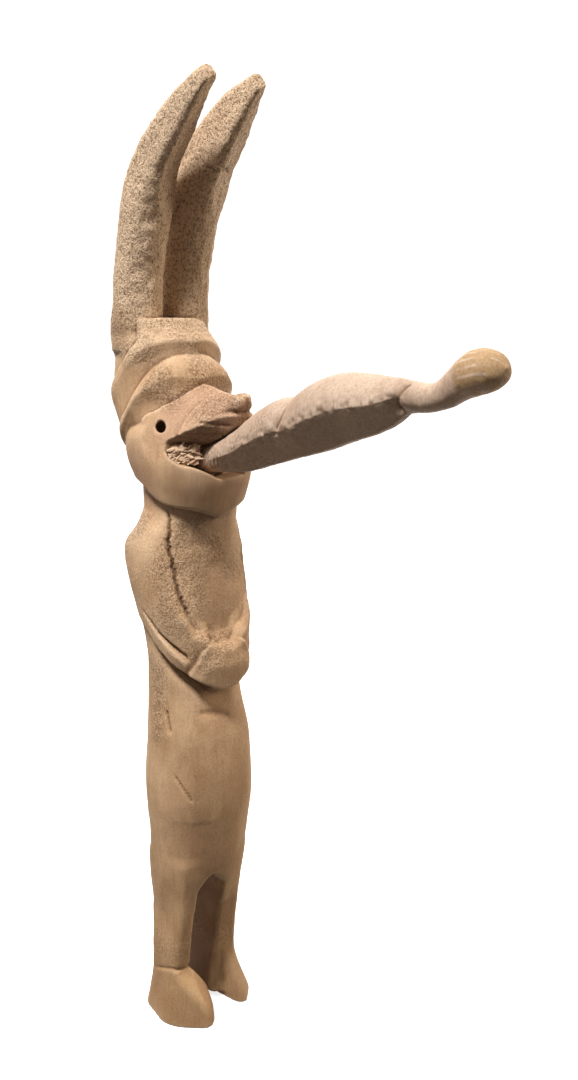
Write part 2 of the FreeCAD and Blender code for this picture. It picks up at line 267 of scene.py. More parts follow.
class Timber(Enum):
    """The three tones of the carved wood."""
    FIGURE = "figure_wood"
    TONGUE = "tongue_wood"
    WEDGE = "wedge_wood"


class Graph:
    """A material's node tree, with short ways to add and link its nodes."""

    def __init__(self, name: str) -> None:
        """Starts an empty tree that ends in a Principled shader.

        Args:
            name: its name.
        """
        self.material = bpy.data.materials.new(name)
        self.material.use_nodes = True
        self.tree = self.material.node_tree
        self.tree.nodes.clear()
        self.shader = self.node("ShaderNodeBsdfPrincipled")
        output = self.node("ShaderNodeOutputMaterial")
        self.link(self.shader.outputs["BSDF"], output.inputs["Surface"])
        self.place = self.node("ShaderNodeTexCoord").outputs["Object"]

    def node(self, kind: str, **settings: object) -> bpy.types.Node:
        """Adds a node and sets its properties.

        Args:
            kind: which kind.
            settings: properties to set, by name.

        Returns:
            The new node.
        """
        new = self.tree.nodes.new(kind)
        for key, value in settings.items():
            setattr(new, key, value)
        return new

    def link(self, out: bpy.types.NodeSocket, into: bpy.types.NodeSocket) -> None:
        """Joins two sockets."""
        self.tree.links.new(out, into)

    def feed(self, socket: bpy.types.NodeSocket, value: object) -> None:
        """Links a socket to another, or sets it to a plain value.

        Args:
            socket: the socket to feed.
            value: what goes in.
        """
        if isinstance(value, bpy.types.NodeSocket):
            self.link(value, socket)
        else:
            socket.default_value = value

    def math(self, kind: str, a: object, b: object = 0.0, clamp: bool = False) -> bpy.types.NodeSocket:
        """One sum of two numbers or sockets.

        Args:
            kind: which kind.
            a: the first number, colour or socket.
            b: the second one.
            clamp: whether the result is held from 0 to 1.

        Returns:
            The result.
        """
        new = self.node("ShaderNodeMath", operation=kind, use_clamp=clamp)
        self.feed(new.inputs[0], a)
        self.feed(new.inputs[1], b)
        return new.outputs[0]

    def span(self, value: bpy.types.NodeSocket, low: float, high: float,
             to_low: float = 0.0, to_high: float = 1.0) -> bpy.types.NodeSocket:
        """Stretches the stretch from low to high over a new range, held level beyond it.

        Args:
            value: the number to stretch.
            low: the value that becomes to_low.
            high: the value that becomes to_high.
            to_low: the result at low.
            to_high: the result at high.

        Returns:
            The stretched number.
        """
        new = self.node("ShaderNodeMapRange", clamp=True)
        for socket, number in zip(new.inputs[1:5], (low, high, to_low, to_high)):
            socket.default_value = number
        self.link(value, new.inputs[0])
        return new.outputs[0]

    def mix(self, share: object, a: object, b: object, blend: str = "MIX") -> bpy.types.NodeSocket:
        """Mixes two colours.

        Args:
            share: how much of b, from 0 to 1.
            a: the first number, colour or socket.
            b: the second one.
            blend: how the colours are mixed.

        Returns:
            The mixed colour.
        """
        new = self.node("ShaderNodeMix", data_type="RGBA", blend_type=blend)
        self.feed(new.inputs[0], share)
        self.feed(new.inputs[6], a)
        self.feed(new.inputs[7], b)
        return new.outputs[2]

    def noise(self, scale: Triple, detail: float = 2.0, rough: float = 0.5,
              warp: float = 0.0, turn: Triple = (0, 0, 0)) -> bpy.types.NodeSocket:
        """Noise with its lumps stretched to 1/scale metres on each axis.

        Args:
            scale: lumps per metre on each axis.
            detail: how many finer layers it has.
            rough: how strong the finer layers are.
            warp: how far it is distorted.
            turn: how the noise is turned, in radians.

        Returns:
            The noise, from 0 to 1.
        """
        mapping = self.node("ShaderNodeMapping")
        self.link(self.place, mapping.inputs["Vector"])
        mapping.inputs["Scale"].default_value = scale
        mapping.inputs["Rotation"].default_value = turn
        new = self.node("ShaderNodeTexNoise")
        self.link(mapping.outputs[0], new.inputs["Vector"])
        new.inputs["Scale"].default_value = 1.0
        new.inputs["Detail"].default_value = detail
        new.inputs["Roughness"].default_value = rough
        new.inputs["Distortion"].default_value = warp
        return new.outputs["Fac"]

    def layers(self, name: str) -> tuple[bpy.types.NodeSocket, ...]:
        """The red, green, blue and alpha of a painted attribute.

        Args:
            name: its name.

        Returns:
            The four numbers.
        """
        source = self.node("ShaderNodeAttribute", attribute_name=name)
        split = self.node("ShaderNodeSeparateColor")
        self.link(source.outputs["Color"], split.inputs[0])
        return (*split.outputs[:3], source.outputs["Alpha"])

    def bump(self, height: bpy.types.NodeSocket, depth: float, strength: float,
             under: bpy.types.NodeSocket | None = None) -> bpy.types.NodeSocket:
        """A bumped normal from a height, over another bumped normal if given.

        Args:
            height: the height to read.
            depth: how deep full height is, in metres.
            strength: how much of the bump shows.
            under: the bumped normal below this one.

        Returns:
            The bumped normal.
        """
        new = self.node("ShaderNodeBump")
        new.inputs["Strength"].default_value = strength
        new.inputs["Distance"].default_value = depth
        self.link(height, new.inputs["Height"])
        if under is not None:
            self.link(under, new.inputs["Normal"])
        return new.outputs[0]


@dataclass(frozen=True)
class CarvedWood:
    """Dry unvarnished wood, left from the rasp and the knife. Colours are linear."""
    timber: Timber
    pale: Colour = (0.78, 0.575, 0.39, 1)
    body: Colour = (0.52, 0.32, 0.17, 1)
    deep: Colour = (0.22, 0.112, 0.05, 1)
    soil_and_shade: Colour = (0.115, 0.055, 0.024, 1)
    blush: Colour = (0.40, 0.225, 0.145, 1)
    low_tint: Colour = (0.80, 0.74, 0.61, 1)
    rasp_depth: float = 0.0012
    grain_along: Triple = (0.0, 0.0, 0.0)
    roughness: float = 0.72

    def make(self) -> bpy.types.Material:
        """The material: painted layers (rasp, dirt with painted shade, blush, wear with painted highlight) over
        grain, mottling and torn fibres.

        Returns:
            The material.
        """
        g = Graph(self.timber.value)
        rasp, dirt_and_shade, blush, wear_and_highlight = g.layers("touch")
        streak = g.noise((700, 700, 28), 4, 0.6, 0.3, self.grain_along)
        hair = g.noise((2600, 2600, 160), 3, 0.65, 0.2, self.grain_along)
        mottle = g.noise((60, 60, 38), 3, 0.55)
        tooth = g.noise((1350, 1350, 950), 3, 0.72)
        crumb = g.noise((2300, 2300, 1500), 2, 0.6)

        colour = g.mix(g.span(mottle, 0.35, 0.68),
                       g.mix(0.32, self.body, self.deep), g.mix(0.3, self.body, self.pale))
        colour = g.mix(g.math("MULTIPLY", g.span(streak, 0.5, 0.72), 0.28), colour, self.deep)
        colour = g.mix(g.math("MULTIPLY", g.span(hair, 0.55, 0.75), 0.22), colour, self.deep)
        colour = g.mix(g.math("MULTIPLY", blush, 0.85), colour, self.blush)
        # wear and painted highlight: the alpha layer pales the wood on worn edges and where a highlight is painted
        colour = g.mix(g.math("MULTIPLY", wear_and_highlight, 0.8), colour, self.pale)
        bite = g.math("MULTIPLY", g.span(tooth, 0.5, 0.37), g.math("MULTIPLY", rasp, 0.95))
        colour = g.mix(bite, colour, self.deep)
        fluff = g.math("MULTIPLY", g.span(tooth, 0.5, 0.68), g.math("MULTIPLY", rasp, 0.75))
        colour = g.mix(fluff, colour, self.pale)
        # dirt and painted shade: the green layer darkens the wood towards the dark soil colour, for grime and for
        # shade painted into hollows, creases and undersides
        colour = g.mix(g.math("MULTIPLY", dirt_and_shade, 0.8), colour, self.soil_and_shade)
        height = g.node("ShaderNodeSeparateXYZ")
        g.link(g.place, height.inputs[0])
        low = g.span(height.outputs["Z"], 0.16, 0.02)
        colour = g.mix(g.math("MULTIPLY", low, 0.8), colour, self.low_tint, "MULTIPLY")
        g.link(colour, g.shader.inputs["Base Color"])

        chips = g.math("MULTIPLY", g.math("ADD", tooth, g.math("MULTIPLY", crumb, 0.4)), rasp)
        normal = g.bump(chips, self.rasp_depth, 1.0)
        fibres = g.math("ADD", g.math("MULTIPLY", streak, 0.5), g.math("MULTIPLY", hair, 0.5))
        g.link(g.bump(fibres, 0.00012, 0.8, normal), g.shader.inputs["Normal"])
        g.shader.inputs["Roughness"].default_value = self.roughness
        g.shader.inputs["Specular IOR Level"].default_value = 0.22
        return g.material


@dataclass(frozen=True)
class StudioPaper:
    """Matt white paper for the floor and the backdrop."""
    tone: float = 0.8
    glow: float = 0.8

    def make(self) -> bpy.types.Material:
        """The material, with a trace of tooth.

        Returns:
            The material.
        """
        g = Graph("studio_paper")
        speck = g.noise((300, 300, 300), 2)
        low, high = self.tone * 0.99, self.tone
        g.link(g.mix(speck, (low, low, low, 1), (high, high, high, 1)), g.shader.inputs["Base Color"])
        g.shader.inputs["Roughness"].default_value = 0.9
        g.shader.inputs["Specular IOR Level"].default_value = 0.1
        g.shader.inputs["Emission Color"].default_value = (1, 1, 1, 1)
        g.shader.inputs["Emission Strength"].default_value = self.glow
        return g.material


# ---------------------------------------------------------------------------------------------
# the figure

@dataclass
class Block:
    """The block of wood: a grid of distances to the carved surface, negative inside the wood."""
    pitch: float
    low: Triple = (-26.5, -43.0, -1.5)
    high: Triple = (26.5, 31.0, 364.5)
    air: float = 6.0
    axes: list[Array] = field(init=False)
    wood: Array = field(init=False)

    def __post_init__(self) -> None:
        """Lays out the grid, with no wood in it yet."""
        self.axes = [np.arange(a, b, self.pitch, dtype=np.float32) for a, b in zip(self.low, self.high)]
        self.wood = np.full([len(axis) for axis in self.axes], self.air, np.float32)

    def level(self, bottom: float, top: float) -> tuple[slice, Array, Array, Array]:
        """The slice of the block between two heights, and its x, y and z ready to be combined."""
        part = slice(*np.searchsorted(self.axes[2], (bottom, top)))
        return part, self.axes[0][:, None, None], self.axes[1][None, :, None], self.axes[2][None, None, part]

    def add(self, part: slice, solid: Array, fillet: float) -> None:
        """Joins a solid to the wood in that slice."""
        self.wood[:, :, part] = join(self.wood[:, :, part], solid, fillet)

    def cut(self, part: slice, tool: Array, softness: float) -> None:
        """Takes a solid away from the wood in that slice."""
        self.wood[:, :, part] = trim(self.wood[:, :, part], -tool, softness)

    def groove(self, part: slice, depth: Array) -> None:
        """Takes that depth off the wood's surface in that slice."""
        self.wood[:, :, part] += depth

    def score(self, start: tuple[float, float], end: tuple[float, float], heights: tuple[float, float],
              depth: float, width: float) -> None:
        """Scores a straight cut with an upright blade: its depth falls off as exp(-(distance/width)^2).

        Args:
            start: x and y of one end of the cut.
            end: x and y of the other end.
            heights: lowest and highest wood the blade reaches.
            depth: how deep it goes.
            width: how far from the line the cut still shows.
        """
        part, x, y, _ = self.level(*heights)
        run = np.subtract(end, start)
        share = np.clip(((x - start[0]) * run[0] + (y - start[1]) * run[1]) / (run @ run), 0, 1)
        off = (x - start[0] - share * run[0]) ** 2 + (y - start[1] - share * run[1]) ** 2
        self.groove(part, (depth * np.exp(-off / width ** 2)).astype(np.float32))

    def skin(self) -> tuple[Array, Array]:
        """The surface where the distance is 0, as points in working millimetres and quads facing outwards.

        Returns:
            The points, one row each, and the four point numbers of each quad.
        """
        grid = vdb.FloatGrid()
        grid.background = self.air
        grid.copyFromArray(np.clip(self.wood, -self.air, self.air).astype(np.float32))
        points, quads = grid.convertToQuads(isovalue=0.0)
        return points * self.pitch + np.asarray(self.low), quads


@dataclass
class Trunk:
    """Neck, chest, folded arms, hands, belly and hips."""
    # height, half width, half depth, middle of the depth
    stations: Table = ((48, 15.2, 12.0, -3.0), (58, 17.5, 14.8, -3.3), (68, 18.9, 16.2, -4.6),
                       (80, 19.8, 17.0, -5.8), (101, 21.4, 18.6, -6.7),
                       (122, 20.3, 17.6, -6.6), (143, 18.2, 15.6, -4.6), (155, 18.6, 16.0, -5.5),
                       (167, 19.9, 17.0, -5.0), (175, 21.0, 18.2, -4.0), (190, 22.3, 19.0, -0.2),
                       (198, 21.8, 18.9, 0.4), (206, 18.9, 16.2, -2.8), (214, 17.6, 15.8, -4.6),
                       (226, 17.6, 15.8, -4.6))
    # height, bearing of the front edge of the upper arm
    arm_front: Table = ((150, 40), (176, 43), (180, 46), (195, 49), (213, 65))
    # bearing, height of each line across the front
    forearm_top: Table = ((0, 162.5), (16, 164), (22, 166.6), (41, 172.4), (43, 175), (60, 178))
    finger_line: Table = ((40, 157.0), (46, 158.6), (65, 164), (85, 171), (95, 175))
    under_arm: Table = ((0, 143.3), (12, 144), (26, 146.8), (41, 150), (60, 154), (82, 161), (95, 166),
                        (130, 172))
    # height, bearing of the hands' edge
    hand_edge: Table = ((140, 52), (150, 46), (152, 44), (157.6, 34), (160.6, 29), (164, 16), (167, 0))
    # bearing, how proud the arm stands of the trunk
    arm_proud: Table = ((0, 3.4), (25, 3.4), (45, 2.6), (62, 1.9), (85, 1.3), (110, 0.8), (140, 0.0))

    def section(self, x: Array, y: Array, z: Array) -> Array:
        """Distance to an upright column: at each height a rounded oval, |x/a|^p + |y/b|^p = 1 with p 2.25.

        Args:
            x: how far to the doll's left, in working millimetres.
            y: how far back, in working millimetres.
            z: height, in working millimetres.

        Returns:
            The distance, negative inside.
        """
        a, b, c = (curve(z, self.stations, k) for k in (1, 2, 3))
        ring = (np.abs(x / a) ** 2.25 + np.abs((y - c) / b) ** 2.25) ** (1 / 2.25)
        return (ring - 1) * np.minimum(a, b)

    def relief(self, x: Array, y: Array, z: Array) -> Array:
        """How far the carving stands proud of the column: arms, hands, chest hollow, belly and their grooves.

        Args:
            x: how far to the doll's left, in working millimetres.
            y: how far back, in working millimetres.
            z: height, in working millimetres.

        Returns:
            Millimetres, positive outwards.
        """
        phi = bearing(x, y - curve(z, self.stations, 3))
        psi = np.abs(phi)
        own_left = ease(-phi / 25)
        inside_arm = (psi - curve(z, self.arm_front) - 7 * own_left) * 0.32
        below_top = (curve(psi, self.forearm_top) - z) * 0.9
        above_under = (z - curve(psi, self.under_arm)) * 0.93
        under_shoulder = (210 - z + 0.06 * (psi - 70)) * 0.8
        arm = np.maximum(inside_arm, below_top)
        soft_top = 0.25 * ease(arm / 1.2) + 0.75 * ease((arm + 0.6) / 4.5)
        proud = curve(psi, self.arm_proud) * soft_top * ease(above_under / 0.7) * ease(under_shoulder / 5)
        proud = proud * (1 - 0.45 * own_left * ease((z - 168) / 8))
        front_fall = ease((78 - psi) / 30)

        hand = np.minimum(curve(z, self.hand_edge) - psi, 56 - psi) * 0.34
        block = ease(hand / 0.9) * ease(above_under / 0.8) * ease((below_top + 1.5) / (3.5 + 5 * own_left))
        proud = proud + 1.1 * block + 1.3 * ease(hand / 7) * ease((160 - z) / 8) * ease(above_under / 0.8)

        along = ease((psi - 42) / 5) * ease((96 - psi) / 10) * (1 - 0.5 * own_left)
        finger = z - curve(psi, self.finger_line)
        leaf = curve(psi, self.finger_line) - 3.0 - z
        proud = proud - 2.1 * along * np.exp(-(finger / 0.85) ** 2)
        proud = proud + 0.9 * along * np.exp(-(leaf / 2.2) ** 2) * front_fall * ease(above_under / 0.8)

        breadth = np.where(above_under < -1.1, 3.6, 1.25)
        undercut = np.exp(-((above_under + 1.1) / breadth) ** 2) * ease((104 - psi) / 30)
        proud = proud - 2.9 * undercut

        chest = ease(-inside_arm / 5) * ease(-below_top / 4) * ease((210 - z) / 8)
        hollow = np.exp(-((z - 172) / 14) ** 2 - ((psi - 10) / 26) ** 2)
        return proud - chest * (0.3 + 1.4 * hollow)

    def carve(self, block: Block) -> None:
        """Adds the trunk and cuts its cracks.

        Args:
            block: the block of wood to carve.
        """
        part, x, y, z = block.level(44, 226)
        solid = self.section(x, y, z) - self.relief(x, y, z) * ease((z - 132) / 8)
        phi = bearing(x, y - curve(z, self.stations, 3))
        starts, stops = ease((phi + 14) / 6), ease((36 - phi) / 6)
        arc = np.abs(z - (134.5 - 2.5 * ((phi - 32) / 42) ** 2)) * starts * stops
        solid = solid + 0.55 * np.exp(-(arc / 1.2) ** 2) * starts * stops
        split = np.hypot((phi - 71 - 0.6 * (z - 132)) * 0.33, np.maximum(np.abs(z - 131.5) - 3.5, 0))
        nick = np.abs(z - 106 - 0.55 * (phi - 54)) + np.maximum(np.abs(phi - 54) - 8, 0) * 0.4
        solid = solid + 1.1 * np.exp(-(split / 0.55) ** 2) + 0.8 * np.exp(-(nick / 0.7) ** 2)
        armpit = (np.abs(phi) - curve(z, self.arm_front)) * 0.32 + 0.25 * np.sin(1.3 * z) + 0.2 * np.sin(3.1 * z)
        torn = np.exp(-(armpit / 0.42) ** 2) * ease((z - 172) / 4) * ease((214 - z) / 4) * ease((phi + 5) / 10)
        solid = solid + 1.2 * torn
        step = ease((92.5 - z) / 3) * np.exp(-((phi - 40) / 30) ** 2)
        solid = solid + 0.25 * step
        solid = trim(solid, 49.0 - z, 3.0)
        block.add(part, solid, 2.5)


@dataclass
class Legs:
    """Two box-like legs, the arch between them and two different feet."""
    # height, half width, half depth, middle of the depth, distance from the centre plane
    stations: Table = ((8, 5.7, 9.3, 0.2, 10.4), (19, 5.4, 9.5, -0.5, 10.4), (38, 5.3, 10.6, -1.9, 10.2),
                       (55, 5.7, 11.9, -3.4, 9.8), (72, 6.4, 12.2, -4.6, 9.8))
    arch_top: float = 66.0

    @staticmethod
    def ankle(x: Array, y: Array) -> Array:
        """Height of the line where the right shin meets its foot: level in front, falling back and inwards."""
        return 23.4 - 0.4 * np.maximum(y + 7.5, 0) - 1.5 * np.maximum(x + 9.5, 0)

    def right_foot(self, x: Array, y: Array, z: Array) -> Array:
        """Distance to the foot that is nearer the doll's right: flat cuts for sole, sides, instep and blunt toe.

        Args:
            x: how far to the doll's left, in working millimetres.
            y: how far back, in working millimetres.
            z: height, in working millimetres.

        Returns:
            The distance, negative inside.
        """
        outer = -x - 18.5 + 0.09 * z - 1.7 * np.exp(-((y + 5) / 7) ** 2) * (1 - z / 25)
        inner = 0.987 * x + 0.16 * y + 4.3
        heel = (y + 0.2 * z - 12.6) * 0.97
        toe_out = -0.71 * x - 0.70 * y - 21.6 + 0.10 * z
        toe_in = 0.616 * x - 0.787 * y - 12.9 + 0.10 * z
        instep = (z - 21.6 - 1.32 * (y + 10.8) + 0.9 * np.maximum(x + 9, 0)) * 0.55
        tops = (z - self.ankle(x, y)) * 0.9
        solid = trim(trim(outer, inner, 2.5), heel, 8.0)
        solid = trim(trim(solid, toe_out, 3.0), toe_in, 4.0)
        return trim(trim(solid, instep, 1.6), tops, 0.8)

    def left_foot(self, x: Array, y: Array, z: Array) -> Array:
        """Distance to the doll's left foot, whose toe is pointed and turned outwards.

        Args:
            x: how far to the doll's left, in working millimetres.
            y: how far back, in working millimetres.
            z: height, in working millimetres.

        Returns:
            The distance, negative inside.
        """
        outer = (x - 23.2 + 0.33 * z) * 0.95
        inner = -0.988 * x - 0.153 * y + 7.6
        heel = (y + 0.2 * z - 12.6) * 0.97
        toe_out = (0.703 * x - 0.711 * y - 23.2 + 0.34 * z) * 0.94
        toe_in = -0.55 * x - 0.835 * y - 8.8 + 0.12 * z
        instep = (z - 24.3 - 1.75 * (y + 10.0)) * 0.5
        solid = trim(trim(outer, inner, 2.5), heel, 5.0)
        solid = trim(trim(solid, toe_out, 3.5), toe_in, 3.0)
        return trim(trim(solid, instep, 2.0), (z - 24.5) * 0.9, 1.5)

    def carve(self, block: Block) -> None:
        """Adds the legs, trims the arch between them, and adds the feet.

        Args:
            block: the block of wood to carve.
        """
        part, x, y, z = block.level(2, 78)
        a, b, c, away = (curve(z, self.stations, k) for k in (1, 2, 3, 4))
        left, right = (x > 0) * ease((z + 4) / 18), (x < 0) * 1.0
        a, away = a + 1.9 * left, away - 1.6 * left + 1.0 * right
        b, c = b + 2.4 * left - 0.7 * right, c + 2.4 * left - 0.7 * right
        ring = ((np.abs(np.abs(x) - away) / a) ** 4.2 + np.abs((y - c) / b) ** 4.2) ** (1 / 4.2)
        legs = trim((ring - 1) * a, 3.0 - z, 1.0)
        legs = trim(legs, z - 74.0, 4.0)
        block.add(part, legs, 2.5)
        part, x, y, z = block.level(1, 70)
        half = 6.0 * np.clip((self.arch_top - z) / 7, 0, 1) ** 0.55
        arch = np.maximum(np.abs(x + 3.1) - half, z - self.arch_top)
        block.cut(part, arch, 0.9)
        part, x, y, z = block.level(-2, 40)
        feet = np.where(x < 0, self.right_foot(x, y, z), self.left_foot(x, y, z))
        block.add(part, feet, np.where(x < 0, 0.7, 2.6))
        self.crease(block)
        part, _, _, z = block.level(-2, 8)
        block.cut(part, z, 0.6)

    def crease(self, block: Block) -> None:
        """Cuts the narrow crease where the shin meets the instep.

        Args:
            block: the block of wood to carve.
        """
        part, x, y, z = block.level(16, 32)
        line = z - self.ankle(x, y) - 0.3
        block.groove(part, 0.6 * np.exp(-(line / 0.7) ** 2) * ease((6 - y) / 5) * ease((-7 - x) / 2))


@dataclass
class Head:
    """Skull with two stepped headbands, the wedge-shaped snout, the big jaw, the mouth and the eyes."""
    # height, half width, half depth, middle of the depth
    stations: Table = ((205, 16.6, 15.4, -6.4), (210, 17.8, 16.2, -6.6), (214, 19.0, 17.0, -6.7),
                       (222, 21.2, 18.7, -6.9), (230, 23.2, 20.3, -5.0), (237, 24.0, 20.6, -2.6),
                       (244, 24.0, 20.5, 1.0), (252, 23.5, 20.1, 4.2), (259, 23.0, 20.0, 6.7),
                       (266, 22.0, 18.8, 8.2), (274, 21.0, 17.3, 9.8), (281, 19.4, 15.0, 11.8),
                       (290, 19.0, 14.5, 12))
    # bearing, line of an edge or valley of the tilted bands, measured square to them
    band_edge: Table = ((0, 169.5), (40, 171.5), (73, 173.4), (95, 173.4), (180, 174.5))
    band_valley: Table = ((0, 167.3), (30, 167.8), (63, 167.0), (76, 165.6), (86, 164.6), (120, 163.8),
                          (180, 163.0))
    lower_edge: Table = ((0, 157.2), (8, 157.7), (37, 159.8), (57, 160.7), (74, 161.6), (89, 160.9),
                         (180, 159.2))
    brow: Table = ((0, 155.8), (26, 153.9), (45, 153.7), (66, 154.5), (81, 155.9), (98, 158.0), (180, 157.0))
    # bearing, depth of the notches between the bands
    notch: Table = ((0, 2.0), (30, 2.7), (60, 3.3), (85, 2.6), (105, 1.4), (180, 1.0))
    # bearing, height of the jaw's lower edge
    jaw_line: Table = ((0, 209.6), (39, 213.4), (69, 215.3), (89, 218.5), (101, 221.9), (130, 224),
                       (180, 225))
    # x, height of the lower lip
    lip: Table = ((-26, 238), (-20.2, 236.9), (-18.7, 232.4), (-17.4, 230.7), (-12, 229.2), (-5, 226.2),
                  (-3.5, 225.3), (10, 225.2), (14, 229.8), (16, 230.4), (26, 230.6))
    tilt: float = 50.0

    def along_crown(self, y: Array, z: Array) -> Array:
        """How far each spot lies along the tilted line that the bands are square to."""
        return z * np.cos(np.radians(self.tilt)) + y * np.sin(np.radians(self.tilt))

    def bands(self, x: Array, y: Array, z: Array) -> Array:
        """How deep each spot lies below the bands' crests.

        Across each notch the depth goes from 0 at the upper band's edge down to the valley as
        1 - t^1.5, a hollow face, and comes back over the next band as (1 - t)^2.2, a swelling one.

        Args:
            x: how far to the doll's left, in working millimetres.
            y: how far back, in working millimetres.
            z: height, in working millimetres.

        Returns:
            Millimetres below the crest.
        """
        phi = np.abs(bearing(x, y - curve(z, self.stations, 3)))
        across = self.along_crown(y, z)
        depth = curve(phi, self.notch)
        lines = [curve(phi, t) for t in (self.band_edge, self.band_valley, self.lower_edge, self.brow)]
        lines.append(lines[3] - 7)
        crown = 1.8 * ease((phi - 57) / 14) * ease((across - 175.5) / 3) * ease((194 - across) / 9)
        total = 0
        for top, valley, bottom in ((lines[0], lines[1], lines[2]), (lines[2], lines[3], lines[4])):
            down = np.clip((across - valley) / (top - valley), 0, 1)
            up = np.clip((valley - across) / (valley - bottom), 0, 1)
            total = total + np.where(across > valley, 1 - down ** 1.5, (1 - up) ** 2.2)
        return depth * total + crown

    def face(self, x: Array, y: Array) -> Array:
        """Height of the flat lit face: straight lines from the brow down to the ridge of the cheek and nose.

        Args:
            x: how far to the doll's left, in working millimetres.
            y: how far back, in working millimetres.

        Returns:
            The height at each place.
        """
        out = np.minimum(np.abs(x), 23)
        brow_z, brow_y = 258.6 - 0.3 * out - 0.009 * out ** 2, -13.6 + 0.0155 * out ** 2
        ridge_y, ridge_z = -44.1 + 1.53 * out, 253 - 0.76 * out
        share = (brow_y - y) / np.maximum(brow_y - ridge_y, 3.5)
        return brow_z + share * (ridge_z - brow_z)

    def palate(self, x: Array, y: Array) -> Array:
        """Height of the snout's underside: a low roof in the middle, steeper sides the nearer the nose."""
        fore = np.clip(-17 - y, -20, 24)
        return 236.6 + 0.23 * fore + 0.23 * np.exp(0.137 * fore) * np.maximum(np.abs(x) - 5 + 0.12 * fore, 0)

    @staticmethod
    def squared(height: Array, z: Array, pitch: float) -> Array:
        """Distance above a height map, corrected for its slope."""
        slopes = np.gradient(height[:, :, 0], pitch)
        return (z - height) / np.sqrt(1 + slopes[0] ** 2 + slopes[1] ** 2)[:, :, None]

    def carve(self, block: Block) -> None:
        """Adds the skull and snout, then cuts the mouth, the eyes and the cracks.

        Args:
            block: the block of wood to carve.
        """
        part, x, y, z = block.level(203, 291)
        phi = bearing(x, y - curve(z, self.stations, 3))
        a, b, c = (curve(z, self.stations, k) for k in (1, 2, 3))
        ring = (np.abs(x / a) ** 2.3 + np.abs((y - c) / b) ** 2.3) ** (1 / 2.3)
        shell = (ring - 1) * b + self.bands(x, y, z)
        across = self.along_crown(y, z)
        above_face = self.squared(self.face(x, y), z, block.pitch)
        above_palate = self.squared(self.palate(x, y), z, block.pitch)
        over_brow = np.minimum(curve(np.abs(phi), self.brow) - across, -3.0 - y)
        shell = trim(shell, np.minimum(above_face, over_brow), 0.3)
        shell = trim(shell, (curve(np.abs(phi), self.jaw_line) - z) * 0.9, 1.2)
        shell = trim(shell, z - 281.8 - 0.02 * y, 1.0)
        shell = trim(shell, 0.82 * (0.74 * x - 0.67 * (y - 11.8) - 14.5) + 0.57 * (z - 281.8), 2.0)

        snout = trim(above_face, -above_palate, 0.5)
        snout = trim(snout, -37.2 - y - 0.12 * (z - 246), 2.2)
        snout = trim(snout, np.abs(x) - 21.5, 1.5)
        snout = np.maximum(snout, across - curve(np.abs(phi), self.brow) + 0.2)
        snout = np.maximum(snout, y + 4)
        nose = (((x + 0.9) / 3.5) ** 4 + ((y + 35.9) / 3.0) ** 4 + ((z - 252.9 - 0.2 * x) / 2.9) ** 4) ** 0.25
        snout = join(snout, (nose - 1) * 3.0, 1.6)
        head = join(shell, snout, 0.6)

        lip = curve(x, self.lip) + 0.12 * (y + 24)
        gap = trim(trim(lip - z, above_palate, 0.6), y + 15.0 + 0.03 * np.abs(x), 0.8)
        head = trim(head, -gap, 0.5)
        block.add(part, head, 0.35)
        self.finish(block)

    def finish(self, block: Block) -> None:
        """Cuts the tongue's socket and throat, the eye holes, the nostril line and the cracks under the snout.

        Args:
            block: the block of wood to carve.
        """
        part, x, y, z = block.level(215, 262)
        # the tongue's line runs forwards and rises 16.3 degrees: these are its steps in y and z
        out, rise = -0.959805, 0.280667
        along = (y + 19) * out + (z - 230) * rise
        off = np.sqrt(x ** 2 + ((y + 19) * rise - (z - 230) * out) ** 2)
        socket = np.maximum(off - 5.2, np.maximum(-along - 17.0, along - 2))
        lifted = np.sqrt(x ** 2 + ((y + 19) * rise - (z - 230) * out - 1.2) ** 2)
        throat = np.maximum(lifted - 5.5 - 0.13 * along, -along - 3.8)
        block.cut(part, socket, 0.2)
        block.cut(part, throat, 0.5)
        for side in (-1, 1):
            px, py, pz = x - side * 18.4, y + 12.3, z - 243.7
            deep = (-side * px * 0.62 + py * 0.75 - pz * 0.1) / 0.978
            wide = np.sqrt(np.maximum(px ** 2 + py ** 2 + 0.7 * pz ** 2 - deep ** 2, 0))
            hole = np.maximum(wide - 1.9 - 0.05 * np.clip(-deep, 0, 3), np.abs(deep - 2) - 6.0)
            block.cut(part, hole, 0.25)
        block.groove(part, 0.9 * ease((-30 - y) / 3) * np.exp(-((z - 249.6) / 0.8) ** 2))
        for level, slope, start, end in ((244.6, 0.10, -36, -24), (241.6, 0.02, -31, -20)):
            line = z - level - slope * (y - start)
            side = ease((y - start) / 2) * ease((end - y) / 2) * ease(-x / 3)
            block.groove(part, 0.7 * side * np.exp(-(line / 0.4) ** 2))
        block.score((-16.0, -18.3), (-6.6, -20.6), (239, 257), 0.8, 0.55)
        block.score((-13.4, -20.6), (-8.3, -22.4), (240, 256), 0.55, 0.5)


